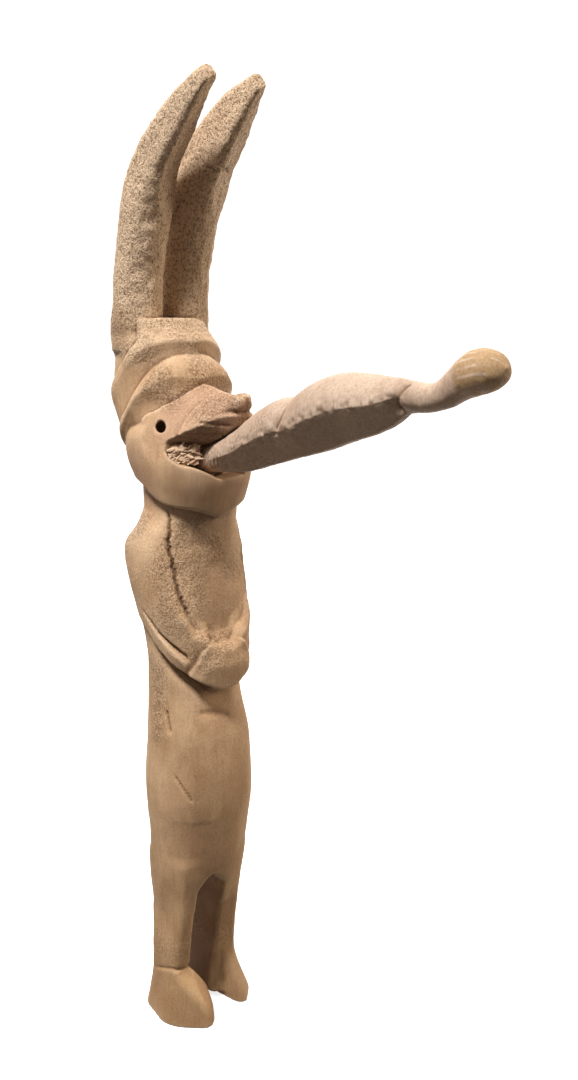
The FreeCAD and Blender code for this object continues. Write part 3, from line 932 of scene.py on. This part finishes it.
@dataclass
class Horns:
    """Two tall horns that rise straight, then lean forward to a chopped tip."""
    spread: float = 10.7
    # distance along the horn, y, z, radius
    path: Table = ((0, 12.4, 270.0, 9.6), (10, 12.2, 280.0, 9.5), (20, 11.6, 290.0, 9.1),
                   (30, 10.2, 300.0, 9.0), (54.5, 3.8, 323.0, 9.3), (69.5, -3.8, 336.0, 8.8), (90, -19.4, 350.6, 6.5),
                   (99, -27.4, 356.6, 4.7), (107.5, -34.8, 361.4, 3.1))

    def carve(self, block: Block) -> None:
        """Adds both horns: a round bar along the path, with two flat faces chopped on its upper half.

        The distance is measured from the nearest rung of the smoothed path, less the radius there.

        Args:
            block: the block of wood to carve.
        """
        part, x, y, z = block.level(266, 365)
        rungs = np.linspace(self.path[0][0], self.path[-1][0] + 3, 140)
        py = np.interp(rungs, [r[0] for r in self.path], [r[1] for r in self.path])
        pz = np.interp(rungs, [r[0] for r in self.path], [r[2] for r in self.path])
        blur = np.hanning(23)
        blur /= blur.sum()
        py, pz = (np.convolve(np.pad(v, 11, mode="reflect", reflect_type="odd"), blur, "valid")
                  for v in (py, pz))
        gap = (y[0, :, :, None] - py) ** 2 + (z[0, :, :, None] - pz) ** 2
        near = np.argmin(gap, axis=-1)
        ty, tz = np.gradient(py), np.gradient(pz)
        length = np.hypot(ty, tz)
        ty, tz = ty / length, tz / length
        dy, dz = y[0] - py[near], z[0] - pz[near]
        fore = (-dy * tz[near] + dz * ty[near])[None]
        beyond = (dy * ty[near] + dz * tz[near])[None]
        far = rungs[near][None]
        radius = curve(far, self.path, 3)
        chop = ease((far - 42) / 26)
        for side, swell, flat, thin in ((-1, 0.0, 0.24, 0.46), (1, 0.20, 0.36, 0.34)):
            across = x - side * self.spread
            girth = radius * (1 + swell * chop * ease((106 - far) / 12))
            bar = np.sqrt(across ** 2 + fore ** 2) - girth
            broad = -0.97 * across + 0.20 * fore - girth * (1.08 - flat * chop)
            narrow = 0.50 * across + 0.87 * fore - girth * (1.08 - thin * chop)
            bar = trim(trim(bar, broad, 0.7), narrow, 0.5)
            tip = beyond + far - 107.0 + 0.25 * fore + 0.1 * across
            bar = trim(bar, tip, 0.2)
            bar = np.maximum(bar, 270 - z)
            block.add(part, bar, 1.0)
        beside = np.maximum(np.abs(x - 10) - 5, 0)
        crack = np.hypot(z - 333.5 - 0.05 * x - 0.5 * np.sin(1.6 * x), beside) + np.maximum(y - 4, 0)
        block.groove(part, 0.8 * np.exp(-(crack / 0.45) ** 2))


@dataclass
class Figure:
    """The whole figure, carved from one block."""
    scale: float
    pitch: float = 0.6
    faces: int = 186000
    trunk: Trunk = field(default_factory=Trunk)
    legs: Legs = field(default_factory=Legs)
    head: Head = field(default_factory=Head)
    horns: Horns = field(default_factory=Horns)

    def rasped(self, p: Array) -> Array:
        """Where the rasp left torn wood, from 0 on knife-smooth wood to 1.

        Args:
            p: places in working millimetres, one row each.

        Returns:
            One number per place.
        """
        x, y, z = p.T
        phi = bearing(x, y)
        horn = ease((z - 273) / 7) * 0.9
        arms = ease((z - 150) / 6) * ease((214 - z) / 5) * 0.75
        bands = ease((z - 246 - 0.9 * (y + 10)) / 8) * 0.85
        strip = np.exp(-((phi - 72) / 14) ** 2) * ease((z - 118) / 8) * ease((158 - z) / 5) * 0.8
        shin = np.exp(-((z - 31) / 9) ** 2) * 0.5
        patches = ease(ripple(p, 9.0, 5) * 1.2 + 0.45)
        jaw = ease((232 - z) / 4) * ease((z - 208) / 4) * ease((75 - np.abs(phi)) / 20)
        arms, bands = arms * (0.35 + 0.65 * patches), bands * (0.3 + 0.7 * patches)
        total = np.maximum.reduce([horn, arms, bands, strip, shin])
        return np.clip(total, 0.16, 1) * (1 - 0.7 * jaw)

    def tool_marks(self, p: Array) -> Array:
        """Small heights left by the tools: soft knife facets, chips where it was rasped, file lines.

        All are ripples at different sizes; the file lines are a sine of the height, bent by a ripple.

        Args:
            p: places in working millimetres, one row each.

        Returns:
            One height per place, in working millimetres.
        """
        x, y, z = p.T
        rasp = self.rasped(p)
        facets = 0.16 * ripple(p, (6.0, 6.0, 11.0), 1) + 0.08 * ripple(p, (3.0, 3.0, 5.0), 2)
        torn = 0.19 * ripple(p, (1.7, 1.7, 2.2), 3) + 0.13 * ripple(p, (2.6, 2.6, 3.4), 4)
        chips = rasp * (1 + 0.5 * ease((z - 284) / 6)) * torn
        rim = ease((z - 273) / 2) * ease((283 - z) / 2) * ease((2 - y) / 3)
        file_lines = 0.16 * np.sin(2 * np.pi * z / 1.9 + 1.6 * ripple(p, (9, 9, 30), 6)) * rim
        file_lines = file_lines * (0.45 + 0.75 * ripple(p, (7, 7, 4), 7))
        on_sole = ease((z - 0.5) / 1.0)
        return (facets + chips + file_lines) * on_sole

    def build(self) -> bpy.types.Object:
        """Carves the block, takes its skin, marks it with the tools and thins the mesh.

        Returns:
            The figure as one mesh object.
        """
        block = Block(self.pitch)
        for member in (self.trunk, self.legs, self.head, self.horns):
            member.carve(block)
        points, quads = block.skin()
        piece = mesh_object("figure_rough", points, quads, self.scale)
        points = points + vertex_normals(piece.data) * self.tool_marks(points)[:, None]
        points[:, 2] = np.maximum(points[:, 2], 0)
        piece.data.vertices.foreach_set("co", (points * self.scale).astype(np.float32).ravel())
        piece.data.update()
        thin = piece.modifiers.new("thin", "DECIMATE")
        thin.ratio = min(1.0, self.faces / (2 * len(quads)))
        mesh = bpy.data.meshes.new_from_object(piece.evaluated_get(bpy.context.evaluated_depsgraph_get()))
        bpy.data.objects.remove(piece)
        mesh.name = "carved_figure"
        figure = bpy.data.objects.new("carved_figure", mesh)
        bpy.context.scene.collection.objects.link(figure)
        mesh.polygons.foreach_set("use_smooth", np.ones(len(mesh.polygons), bool))
        return figure

    def darkening_and_shade(self, mesh: bpy.types.Mesh, p: Array) -> Array:
        """Painted shade in the armpit crack, the hand recess, under the snout, on the chest under the jaw and under
        the arms, and a darker lower left foot.

        Args:
            mesh: the figure's mesh.
            p: places in working millimetres, one row each.

        Returns:
            One number per place, 0 where the wood is not darkened.
        """
        x, y, z = p.T
        down = -vertex_normals(mesh)[:, 2]
        phi = bearing(x, y - curve(z, self.trunk.stations, 3))
        psi = np.abs(phi)
        armpit = (phi - curve(z, self.trunk.arm_front)) * 0.32 + 0.4 * ripple(p, 3.0, 51)
        # painted shade: a dark line along the armpit crack
        crack = np.exp(-(armpit / 0.6) ** 2) * ease((z - 172) / 4) * ease((215 - z) / 4)
        hand = (psi - curve(z, self.trunk.hand_edge)) * 0.34
        # painted shade: the recess left of the hands
        recess = np.exp(-((hand - 0.9) / 0.9) ** 2) * ease((z - 149) / 2) * ease((166 - z) / 3) * ease(phi / 10)
        # painted shade: the snout's downward-facing underside
        snout = ease((down + 0.15) / 0.3) * ease((z - 232) / 3) * ease((255 - z) / 3) * ease((-10 - y) / 5)
        # painted shadow: the band under the forearms and hands, and the wider shade under the arm's side
        under = (z - curve(psi, self.trunk.under_arm)) * 0.93
        shade = np.exp(-((under + 1.2) / 1.3) ** 2) * ease((120 - psi) / 25)
        shade = shade + 0.6 * np.exp(-((under + 4) / 3) ** 2) * np.exp(-((psi - 84) / 16) ** 2)
        # painted shade: the chest below the jaw
        chest = 0.3 * ease((36 - psi) / 12) * ease((z - 168) / 10) * ease((216 - z) / 6)
        # the left foot's lower part is darker
        left_foot = 0.25 * ease(x / 4) * ease((30 - z) / 8)
        return left_foot + 0.9 * crack + 0.55 * recess + 0.75 * snout + 0.9 * shade + chest

    def dress(self, piece: bpy.types.Object) -> None:
        """Paints rasp, dirt with painted shade, blush, and wear with a painted highlight on the figure and gives it
        its wood.

        Dirt and painted shade lie in the hollows and under the arms, snout and jaw, wear on the edges; the wood is
        paler from the headbands up and on the horns, and a painted highlight lies on the right shoulder.

        Args:
            piece: the mesh object.
        """
        p = vertex_places(piece.data, self.scale)
        x, y, z = p.T
        fine, wide = hollowness(piece.data, self.scale, 5), hollowness(piece.data, self.scale, 26)
        # dirt and painted shade: the hollower the wood, the darker, standing for grime in the hollows and for the
        # shade that falls in them
        dirt_and_shade = 0.9 * ease((wide - 0.08) / 0.9) + 0.5 * ease((fine - 0.05) / 0.25)
        dirt_and_shade = dirt_and_shade + self.darkening_and_shade(piece.data, p)
        # painted shade: the rough patch below the right horn's base
        dirt_and_shade = dirt_and_shade + 0.5 * blob(p, (-21, 11, 277), (10, 12, 12))
        # painted shade: the jaw's front under the snout and tongue
        dirt_and_shade = dirt_and_shade + 0.4 * ease((232 - z) / 6) * ease((z - 208) / 3) * ease((-12 - y) / 8)
        # painted shade: between the legs, under the arch
        dirt_and_shade = dirt_and_shade + 0.35 * ease((6 - np.abs(x)) / 2) * ease((58 - z) / 6) * ease((z - 1) / 3)
        # paler from the headbands up and paler again on the horns
        paler_top_and_lit_shoulder = 0.45 * ease((z - 262) / 8) + 0.42 * ease((z - 284) / 4)
        # painted highlight: the doll's right shoulder, where the key light falls
        paler_top_and_lit_shoulder = paler_top_and_lit_shoulder + 0.35 * blob(p, (-20, 2, 202), (10, 14, 12))
        edges = 0.45 * ease((-fine - 0.05) / 0.3) * (1 - 0.7 * ease((238 - z) / 3) * ease((z - 215) / 4))
        wear_and_highlight = edges + 0.3 * ease((-wide - 0.25) / 1.2) + paler_top_and_lit_shoulder * (1 - ease(dirt_and_shade))
        plane = ease((-8 - y) / 6) * ease((z - 236) / 4) * ease((259 - z) / 3)
        blush = 0.7 * plane + 0.4 * blob(p, (-6, -32, 250), (12, 14, 8))
        blush = blush + 0.9 * blob(p, (-24, 2, 222), (13, 19, 23))
        blush = blush + 0.4 * ease(ripple(p, 17.0, 8) - 0.1)
        paint(piece.data, "touch", (self.rasped(p), dirt_and_shade, blush, wear_and_highlight))
        piece.data.materials.append(CarvedWood(Timber.FIGURE).make())
        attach(piece, "figure")
        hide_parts("figure")


# ---------------------------------------------------------------------------------------------
# the tongue and the wedge

@dataclass
class Tongue:
    """The long lobed tongue, twisted before its flared tip, on a round tenon."""
    scale: float
    root: Triple = (0.0, -19.0, 230.0)
    rise: float = 16.3
    # distance along, height above the straight line, depth below it
    profile: Table = ((-15.0, 4.9, 4.9), (-4.2, 4.95, 4.95), (-3.4, 5.6, 4.0), (0, 6.0, 3.7), (5, 6.3, 4.4),
                      (10, 6.9, 5.4), (15, 7.6, 6.3), (20, 8.5, 6.9),
                      (26, 10.2, 7.1), (32, 11.7, 7.2), (38, 12.9, 7.2), (44, 13.5, 7.3), (48, 13.1, 7.4),
                      (52, 12.2, 7.5), (56, 13.3, 7.6), (60, 14.3, 7.7), (66, 14.9, 7.5), (72, 14.9, 7.2),
                      (78, 14.0, 7.1), (84, 12.1, 6.8), (90, 10.0, 6.2), (94, 8.4, 5.0), (98, 6.9, 3.7),
                      (102, 5.3, 4.4), (106, 3.8, 5.2), (110, 2.9, 5.5), (114, 3.7, 5.5), (118, 5.5, 5.0),
                      (122, 7.3, 4.6), (126, 8.2, 4.7), (129, 7.8, 4.5), (132, 6.3, 3.6),
                      (134, 4.2, 2.2), (135.3, 0.5, -0.5))
    # distance along, half width
    width: Table = ((-15, 4.9), (-4.2, 4.95), (-3.4, 5.4), (0, 5.7), (20, 7.6), (40, 9.4), (60, 10.0),
                    (75, 10.0), (90, 7.6), (102, 5.0), (110, 4.6), (118, 5.2), (126, 6.6), (130, 6.2),
                    (134, 3.6), (135.3, 0.3))
    steps: int = 460
    spokes: int = 200

    def build(self) -> bpy.types.Object:
        """Carries a section along the tongue's line.

        The section is an oval between the height and the depth, cut by a flat that faces down to the
        doll's right, which leaves one long edge. The edge fades where the neck begins.

        Returns:
            The tongue as a closed mesh.
        """
        ends = 0.5 - 0.5 * np.cos(np.linspace(0, np.pi, self.steps))
        even = np.linspace(0, 1, self.steps)
        s = (-15 + 150.3 * (0.75 * even + 0.25 * ends))[:, None]
        theta = np.linspace(0, 2 * np.pi, self.spokes, endpoint=False)[None, :]
        above, below = curve(s, self.profile, 1), curve(s, self.profile, 2)
        middle, tall, wide = (above - below) / 2, (above + below) / 2, curve(s, self.width)
        ring = (np.abs(np.cos(theta)) ** 2.15 + np.abs(np.sin(theta)) ** 2.15) ** (-1 / 2.15)
        lobed = ease((s - 2) / 14) * ease((104 - s) / 10)
        for facing, deep in ((132, 0.79), (-118, 0.88)):
            reach = np.cos(theta - np.radians(facing))
            flat = np.where(reach > 0.2, deep / np.maximum(reach, 0.2), 9)
            ring = ring - lobed * np.maximum(ring - flat, 0)
        degrees = np.degrees((theta + np.pi) % (2 * np.pi) - np.pi)
        seam = s - (53.5 - 5.5 * np.clip(degrees / 90, -1.3, 1.3) ** 2)
        groove = -1.3 * np.exp(-(seam / 1.5) ** 2) * ease((112 - np.abs(degrees)) / 35)
        twist = s - (101.5 - 4.5 * ease((degrees - 20) / 120))
        groove = groove - 1.5 * np.exp(-(twist / 1.5) ** 2) * ease((degrees - 5) / 30) * ease((170 - degrees) / 20)
        up = middle + (tall * ring + groove) * np.cos(theta)
        side = (wide * ring + groove) * np.sin(theta)
        tilt = np.radians(self.rise)
        points = np.stack([-side, self.root[1] - s * np.cos(tilt) + up * np.sin(tilt),
                           self.root[2] + s * np.sin(tilt) + up * np.cos(tilt)], axis=-1).reshape(-1, 3)
        shown = ease((s + 1) / 3) * np.ones_like(theta)
        rough = 0.15 * ripple(points, (5, 5, 5), 21) + 0.10 * ripple(points, (1.9, 1.9, 1.9), 22)
        chisel = (0.22 * np.sin(2 * np.pi * (s + degrees / 14) / 2.1) * ease((16 - s) / 6)
                  * ease((degrees - 30) / 20) * ease((125 - degrees) / 20))
        edge = np.exp(-((degrees - 92) / 15) ** 2) * ease((s - 16) / 10) * ease((104 - s) / 6)
        torn = edge * 0.36 * ripple(points, (1.7, 1.7, 1.7), 23).reshape(shown.shape)
        push = (rough.reshape(shown.shape) * ease((136 - s) / 6) + chisel + torn) * shown
        away = np.stack([-np.sin(theta) + 0 * s, np.cos(theta) * np.sin(tilt) + 0 * s,
                         np.cos(theta) * np.cos(tilt) + 0 * s], -1)
        points = points + (away * push[..., None]).reshape(-1, 3)
        index = np.arange(self.steps * self.spokes).reshape(self.steps, self.spokes)
        here, turned = index[:-1], np.roll(index, -1, axis=1)[:-1]
        ahead, both = index[1:], np.roll(index, -1, axis=1)[1:]
        quads = np.stack([here, ahead, both, turned], -1).reshape(-1, 4)
        piece = mesh_object("carved_tongue", points, quads, self.scale)
        close_ends(piece)
        return piece

    def dress(self, piece: bpy.types.Object) -> None:
        """Paints dirt and painted shade in the tongue's hollows, dark specks along its torn edge, painted shade under
        its twist and its amber tip, and gives it its wood.

        Args:
            piece: the mesh object.
        """
        p = vertex_places(piece.data, self.scale)
        tilt = np.radians(self.rise)
        s = (self.root[1] - p[:, 1]) * np.cos(tilt) + (p[:, 2] - self.root[2]) * np.sin(tilt)
        fine, wide = hollowness(piece.data, self.scale, 5), hollowness(piece.data, self.scale, 30)
        # dirt and painted shade in the tongue's hollows
        dirt_and_shade = 0.8 * ease((wide - 0.06) / 0.5) + 0.4 * ease((fine - 0.04) / 0.2)
        rasp = 0.3 + 0.5 * ease(ripple(p, 8.0, 31) + 0.2) * ease((60 - s) / 30)
        up = (self.root[1] - p[:, 1]) * -np.sin(tilt) + (p[:, 2] - self.root[2]) * np.cos(tilt)
        middle = (curve(s, self.profile, 1) - curve(s, self.profile, 2)) / 2
        turn = np.degrees(np.arctan2(-p[:, 0], up - middle))
        edge = np.exp(-((turn - 92) / 14) ** 2) * ease((s - 14) / 10) * ease((112 - s) / 8)
        # dark specks painted along the long torn edge
        dirt_and_shade = dirt_and_shade + 0.8 * edge * ease(2 * ripple(p, 1.7, 36) - 0.2)
        tip = ease((s - 119) / 4)
        # painted shade: the underside at the twist, on the doll's right
        dirt_and_shade = dirt_and_shade + 0.5 * np.exp(-((s - 100) / 5) ** 2) * ease(ripple(p, 2.2, 35) + 0.3) * ease(-p[:, 0] / 3)
        lean = p[:, 2] * 0.75 + p[:, 0] * 0.5 + 0.2 * p[:, 1]
        gouges = tip * ease((np.sin(2 * np.pi * lean / 2.0 + ripple(p, 4.0, 33)) - 0.35) / 0.5)
        gouges = gouges * ease(1.6 * ripple(p, (3.0, 3.0, 2.4), 34) + 0.5)
        wear_and_highlight = ease((-wide - 0.1) / 0.9) * 0.5 * (1 - tip) + 0.6 * gouges
        paint(piece.data, "touch", (rasp, dirt_and_shade, tip, wear_and_highlight))
        wood = CarvedWood(Timber.TONGUE, pale=(0.68, 0.535, 0.42, 1), body=(0.49, 0.355, 0.255, 1),
                          deep=(0.24, 0.135, 0.085, 1), blush=(0.36, 0.215, 0.09, 1), low_tint=(1, 1, 1, 1),
                          rasp_depth=0.0003, grain_along=(np.radians(73.7), 0, 0))
        piece.data.materials.append(wood.make())
        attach(piece, "tongue")
        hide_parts("tongue")


@dataclass
class Wedge:
    """The wad of split slivers jammed into the corner of the mouth, beside the tongue."""
    scale: float
    low: Triple = (-17.3, -20.6, 231.2)
    high: Triple = (-8.0, -15.5, 236.8)
    slivers: int = 40
    flakes: int = 16
    rings: int = 9
    sides: int = 6

    def build(self) -> bpy.types.Object:
        """Flakes and slivers as six-sided bars, thin at both ends and a little bent, laid across each other.

        Returns:
            The slivers as one mesh.
        """
        rng = np.random.default_rng(7)
        low, high = np.asarray(self.low), np.asarray(self.high)
        flake = np.arange(self.slivers) < self.flakes
        number = np.arange(self.slivers) % self.flakes
        share = rng.random((self.slivers, 3))
        share[:, 0] = np.where(flake, (number % 4 + 0.5) / 4, share[:, 0])
        share[:, 2] = np.where(flake, (number // 4 + 0.5) / 4, share[:, 2])
        middle = low + share * (high - low)
        proud = np.where(flake, rng.uniform(0, 1.2, self.slivers), -0.3)
        middle[:, 1] = high[1] + (low[1] - high[1]) * share[:, 0] + proud
        length = np.where(flake, rng.uniform(3.6, 5.4, self.slivers), rng.uniform(3.0, 6.5, self.slivers))
        heading = rng.normal(-0.45, 0.2, self.slivers)
        climb = np.where(flake, rng.normal(0.1, 0.28, self.slivers), rng.normal(0.3, 0.5, self.slivers))
        along = np.stack([np.cos(heading) * np.cos(climb), np.sin(heading) * np.cos(climb), np.sin(climb)], -1)
        facing = np.array([-0.5, -0.75, 0.45]) + rng.normal(0, 0.25, (self.slivers, 3))
        side = np.cross(along, facing)
        side /= np.linalg.norm(side, axis=1, keepdims=True)
        lift = np.cross(side, along)
        t = np.linspace(-1, 1, self.rings)
        spin = np.linspace(0, 2 * np.pi, self.sides, endpoint=False)
        girth = (1 - np.abs(t) ** 4) ** 0.6 * 0.9 + 0.1
        half = np.where(flake, rng.uniform(1.2, 1.9, self.slivers), rng.uniform(0.3, 0.6, self.slivers))
        flat = np.where(flake, 0.2, 0.6)
        bend = rng.normal(0, 0.15, self.slivers)
        run = middle[:, None, None] + (length[:, None] / 2 * t)[..., None, None] * along[:, None, None]
        run = run + (bend[:, None] * (1 - t ** 2))[..., None, None] * lift[:, None, None]
        jag = 1 + 0.3 * rng.uniform(-1, 1, (self.slivers, self.rings, self.sides))
        r = half[:, None, None] * girth[None, :, None] * jag
        ring = ((r * np.cos(spin))[..., None] * side[:, None, None]
                + (r * flat[:, None, None] * np.sin(spin))[..., None] * lift[:, None, None])
        points = run + ring
        index = np.arange(jag.size).reshape(jag.shape)
        turned = np.roll(index, -1, axis=2)
        quads = np.stack([index[:, :-1], index[:, 1:], turned[:, 1:], turned[:, :-1]], -1).reshape(-1, 4)
        piece = mesh_object("splinter_wedge", points.reshape(-1, 3), quads, self.scale)
        close_ends(piece)
        piece.data.polygons.foreach_set("use_smooth", np.zeros(len(piece.data.polygons), bool))
        return piece

    def dress(self, piece: bpy.types.Object) -> None:
        """Gives the slivers their pale freshly split wood.

        Args:
            piece: the mesh object.
        """
        p = vertex_places(piece.data, self.scale)
        none = np.zeros(len(p))
        dirt_and_shade, wear_and_highlight = 0.45 * ease(ripple(p, 1.6, 41)), ease(ripple(p, 2.2, 42) + 0.3)
        paint(piece.data, "touch", (none + 0.5, dirt_and_shade, none + 0.15, wear_and_highlight))
        wood = CarvedWood(Timber.WEDGE, body=(0.55, 0.37, 0.25, 1), low_tint=(1, 1, 1, 1), rasp_depth=0.0002)
        piece.data.materials.append(wood.make())
        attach(piece, "mouth_wedge")
        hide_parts("mouth_wedge")


# ---------------------------------------------------------------------------------------------
# the studio

@dataclass(frozen=True)
class Lamp:
    """A square soft light: its bearing and height in degrees round the doll's middle, then metres and watts."""
    name: str
    bearing: float
    height: float
    away: float
    size: float
    watts: float
    colour: Triple = (1, 1, 1)
    aim: Triple = (0, 0, 0.20)

    def hang(self) -> bpy.types.Object:
        """The light in its place, facing the doll.

        Returns:
            The light.
        """
        lamp = bpy.data.lights.new(self.name, "AREA")
        lamp.shape, lamp.size, lamp.energy, lamp.color = "SQUARE", self.size, self.watts, self.colour
        held = bpy.data.objects.new(self.name, lamp)
        a, e = np.radians(self.bearing), np.radians(self.height)
        aim = Vector(self.aim)
        held.location = aim + self.away * Vector((-np.sin(a) * np.cos(e), -np.cos(a) * np.cos(e), np.sin(e)))
        held.rotation_euler = (aim - held.location).to_track_quat("-Z", "Y").to_euler()
        bpy.context.scene.collection.objects.link(held)
        return held


@dataclass
class Studio:
    """A white dish all round, a soft key light from the upper left, a warm fill, a wall light, and the camera."""
    scale: float
    # the camera: its place in working millimetres, its turn and dip in degrees, its lens in millimetres
    stand: Triple = (-236.2, -322.8, 281.0)
    turn: float = 42.0
    dip: float = 11.8
    lens: float = 35.0
    # the dish, in metres: flat floor, radius of the bend, length from the middle, how far under the soles
    floor: float = 1.1
    bend: float = 0.9
    sweep: float = 4.2
    under: float = 0.00005
    grid: int = 97
    lamps: tuple[Lamp, ...] = (Lamp("key_light", 72, 58, 1.3, 0.24, 28),
                               Lamp("fill_light", -62, 22, 1.6, 0.8, 15, (1, 0.86, 0.68)),
                               Lamp("wall_light", -138, 30, 0.9, 1.2, 14))
    sky: Colour = (1, 0.78, 0.56, 1)
    sky_strength: float = 0.10

    def backdrop(self) -> bpy.types.Object:
        """A round dish: flat floor, then a quarter circle up to a wall that goes all round.

        A square grid (u, v) is bent to a disc by x = u sqrt(1 - v^2/2), y = v sqrt(1 - u^2/2), and the
        distance from the middle then runs along the floor, round the bend and up the wall.

        Returns:
            The dish.
        """
        lines = np.linspace(-1, 1, self.grid)
        u, v = np.meshgrid(lines, lines, indexing="ij")
        east, north = u * np.sqrt(1 - v * v / 2), v * np.sqrt(1 - u * u / 2)
        share = np.hypot(east, north)
        run = self.sweep * share
        angle = np.clip((run - self.floor) / self.bend, 0, np.pi / 2)
        reach = (np.minimum(run, self.floor) + self.bend * np.sin(angle)) / np.maximum(share, 1e-6)
        wall = np.maximum(run - self.floor - self.bend * np.pi / 2, 0)
        rise = self.bend - self.bend * np.cos(angle) + wall
        points = np.stack([east * reach, north * reach, rise - self.under], -1).reshape(-1, 3)
        index = np.arange(self.grid ** 2).reshape(self.grid, self.grid)
        quads = np.stack([index[:-1, :-1], index[1:, :-1], index[1:, 1:], index[:-1, 1:]], -1).reshape(-1, 4)
        sheet = mesh_object("backdrop", points, quads, 1.0)
        sheet.data.materials.append(StudioPaper().make())
        sheet.visible_diffuse = False
        return sheet

    def camera(self) -> bpy.types.Object:
        """The camera, level across, looking down a little at the doll's right front.

        Returns:
            The camera.
        """
        data = bpy.data.cameras.new("camera")
        data.lens, data.sensor_width, data.clip_start = self.lens, 36.0, 0.01
        held = bpy.data.objects.new("camera", data)
        held.location = Vector(self.stand) * self.scale
        a, e = np.radians(self.turn), np.radians(self.dip)
        look = Vector((np.sin(a) * np.cos(e), np.cos(a) * np.cos(e), -np.sin(e)))
        held.rotation_euler = look.to_track_quat("-Z", "Y").to_euler()
        bpy.context.scene.collection.objects.link(held)
        bpy.context.scene.camera = held
        return held

    def build(self) -> None:
        """Puts up the backdrop, lights, surroundings and camera."""
        self.backdrop()
        for lamp in self.lamps:
            lamp.hang()
        world = bpy.data.worlds.new("surroundings")
        world.use_nodes = True
        world.node_tree.nodes["Background"].inputs["Color"].default_value = self.sky
        world.node_tree.nodes["Background"].inputs["Strength"].default_value = self.sky_strength
        bpy.context.scene.world = world
        bpy.context.scene.view_settings.view_transform = "Standard"
        self.camera()


def main() -> None:
    """Builds the studio and each piece."""
    logging.basicConfig(level=logging.INFO, format="%(name)s: %(message)s")
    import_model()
    low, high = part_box("figure")
    scale = (high[2] - low[2]) / NOMINAL_HEIGHT
    Studio(scale).build()
    log.info("studio ready, %.5f m per working millimetre", scale)
    pitch = Figure.pitch
    for maker in (Figure(scale, pitch), Tongue(scale), Wedge(scale)):
        piece = maker.build()
        maker.dress(piece)
        log.info("%s: %d vertices, %d faces", piece.name, len(piece.data.vertices), len(piece.data.polygons))


if __name__ == "__main__":
    main()
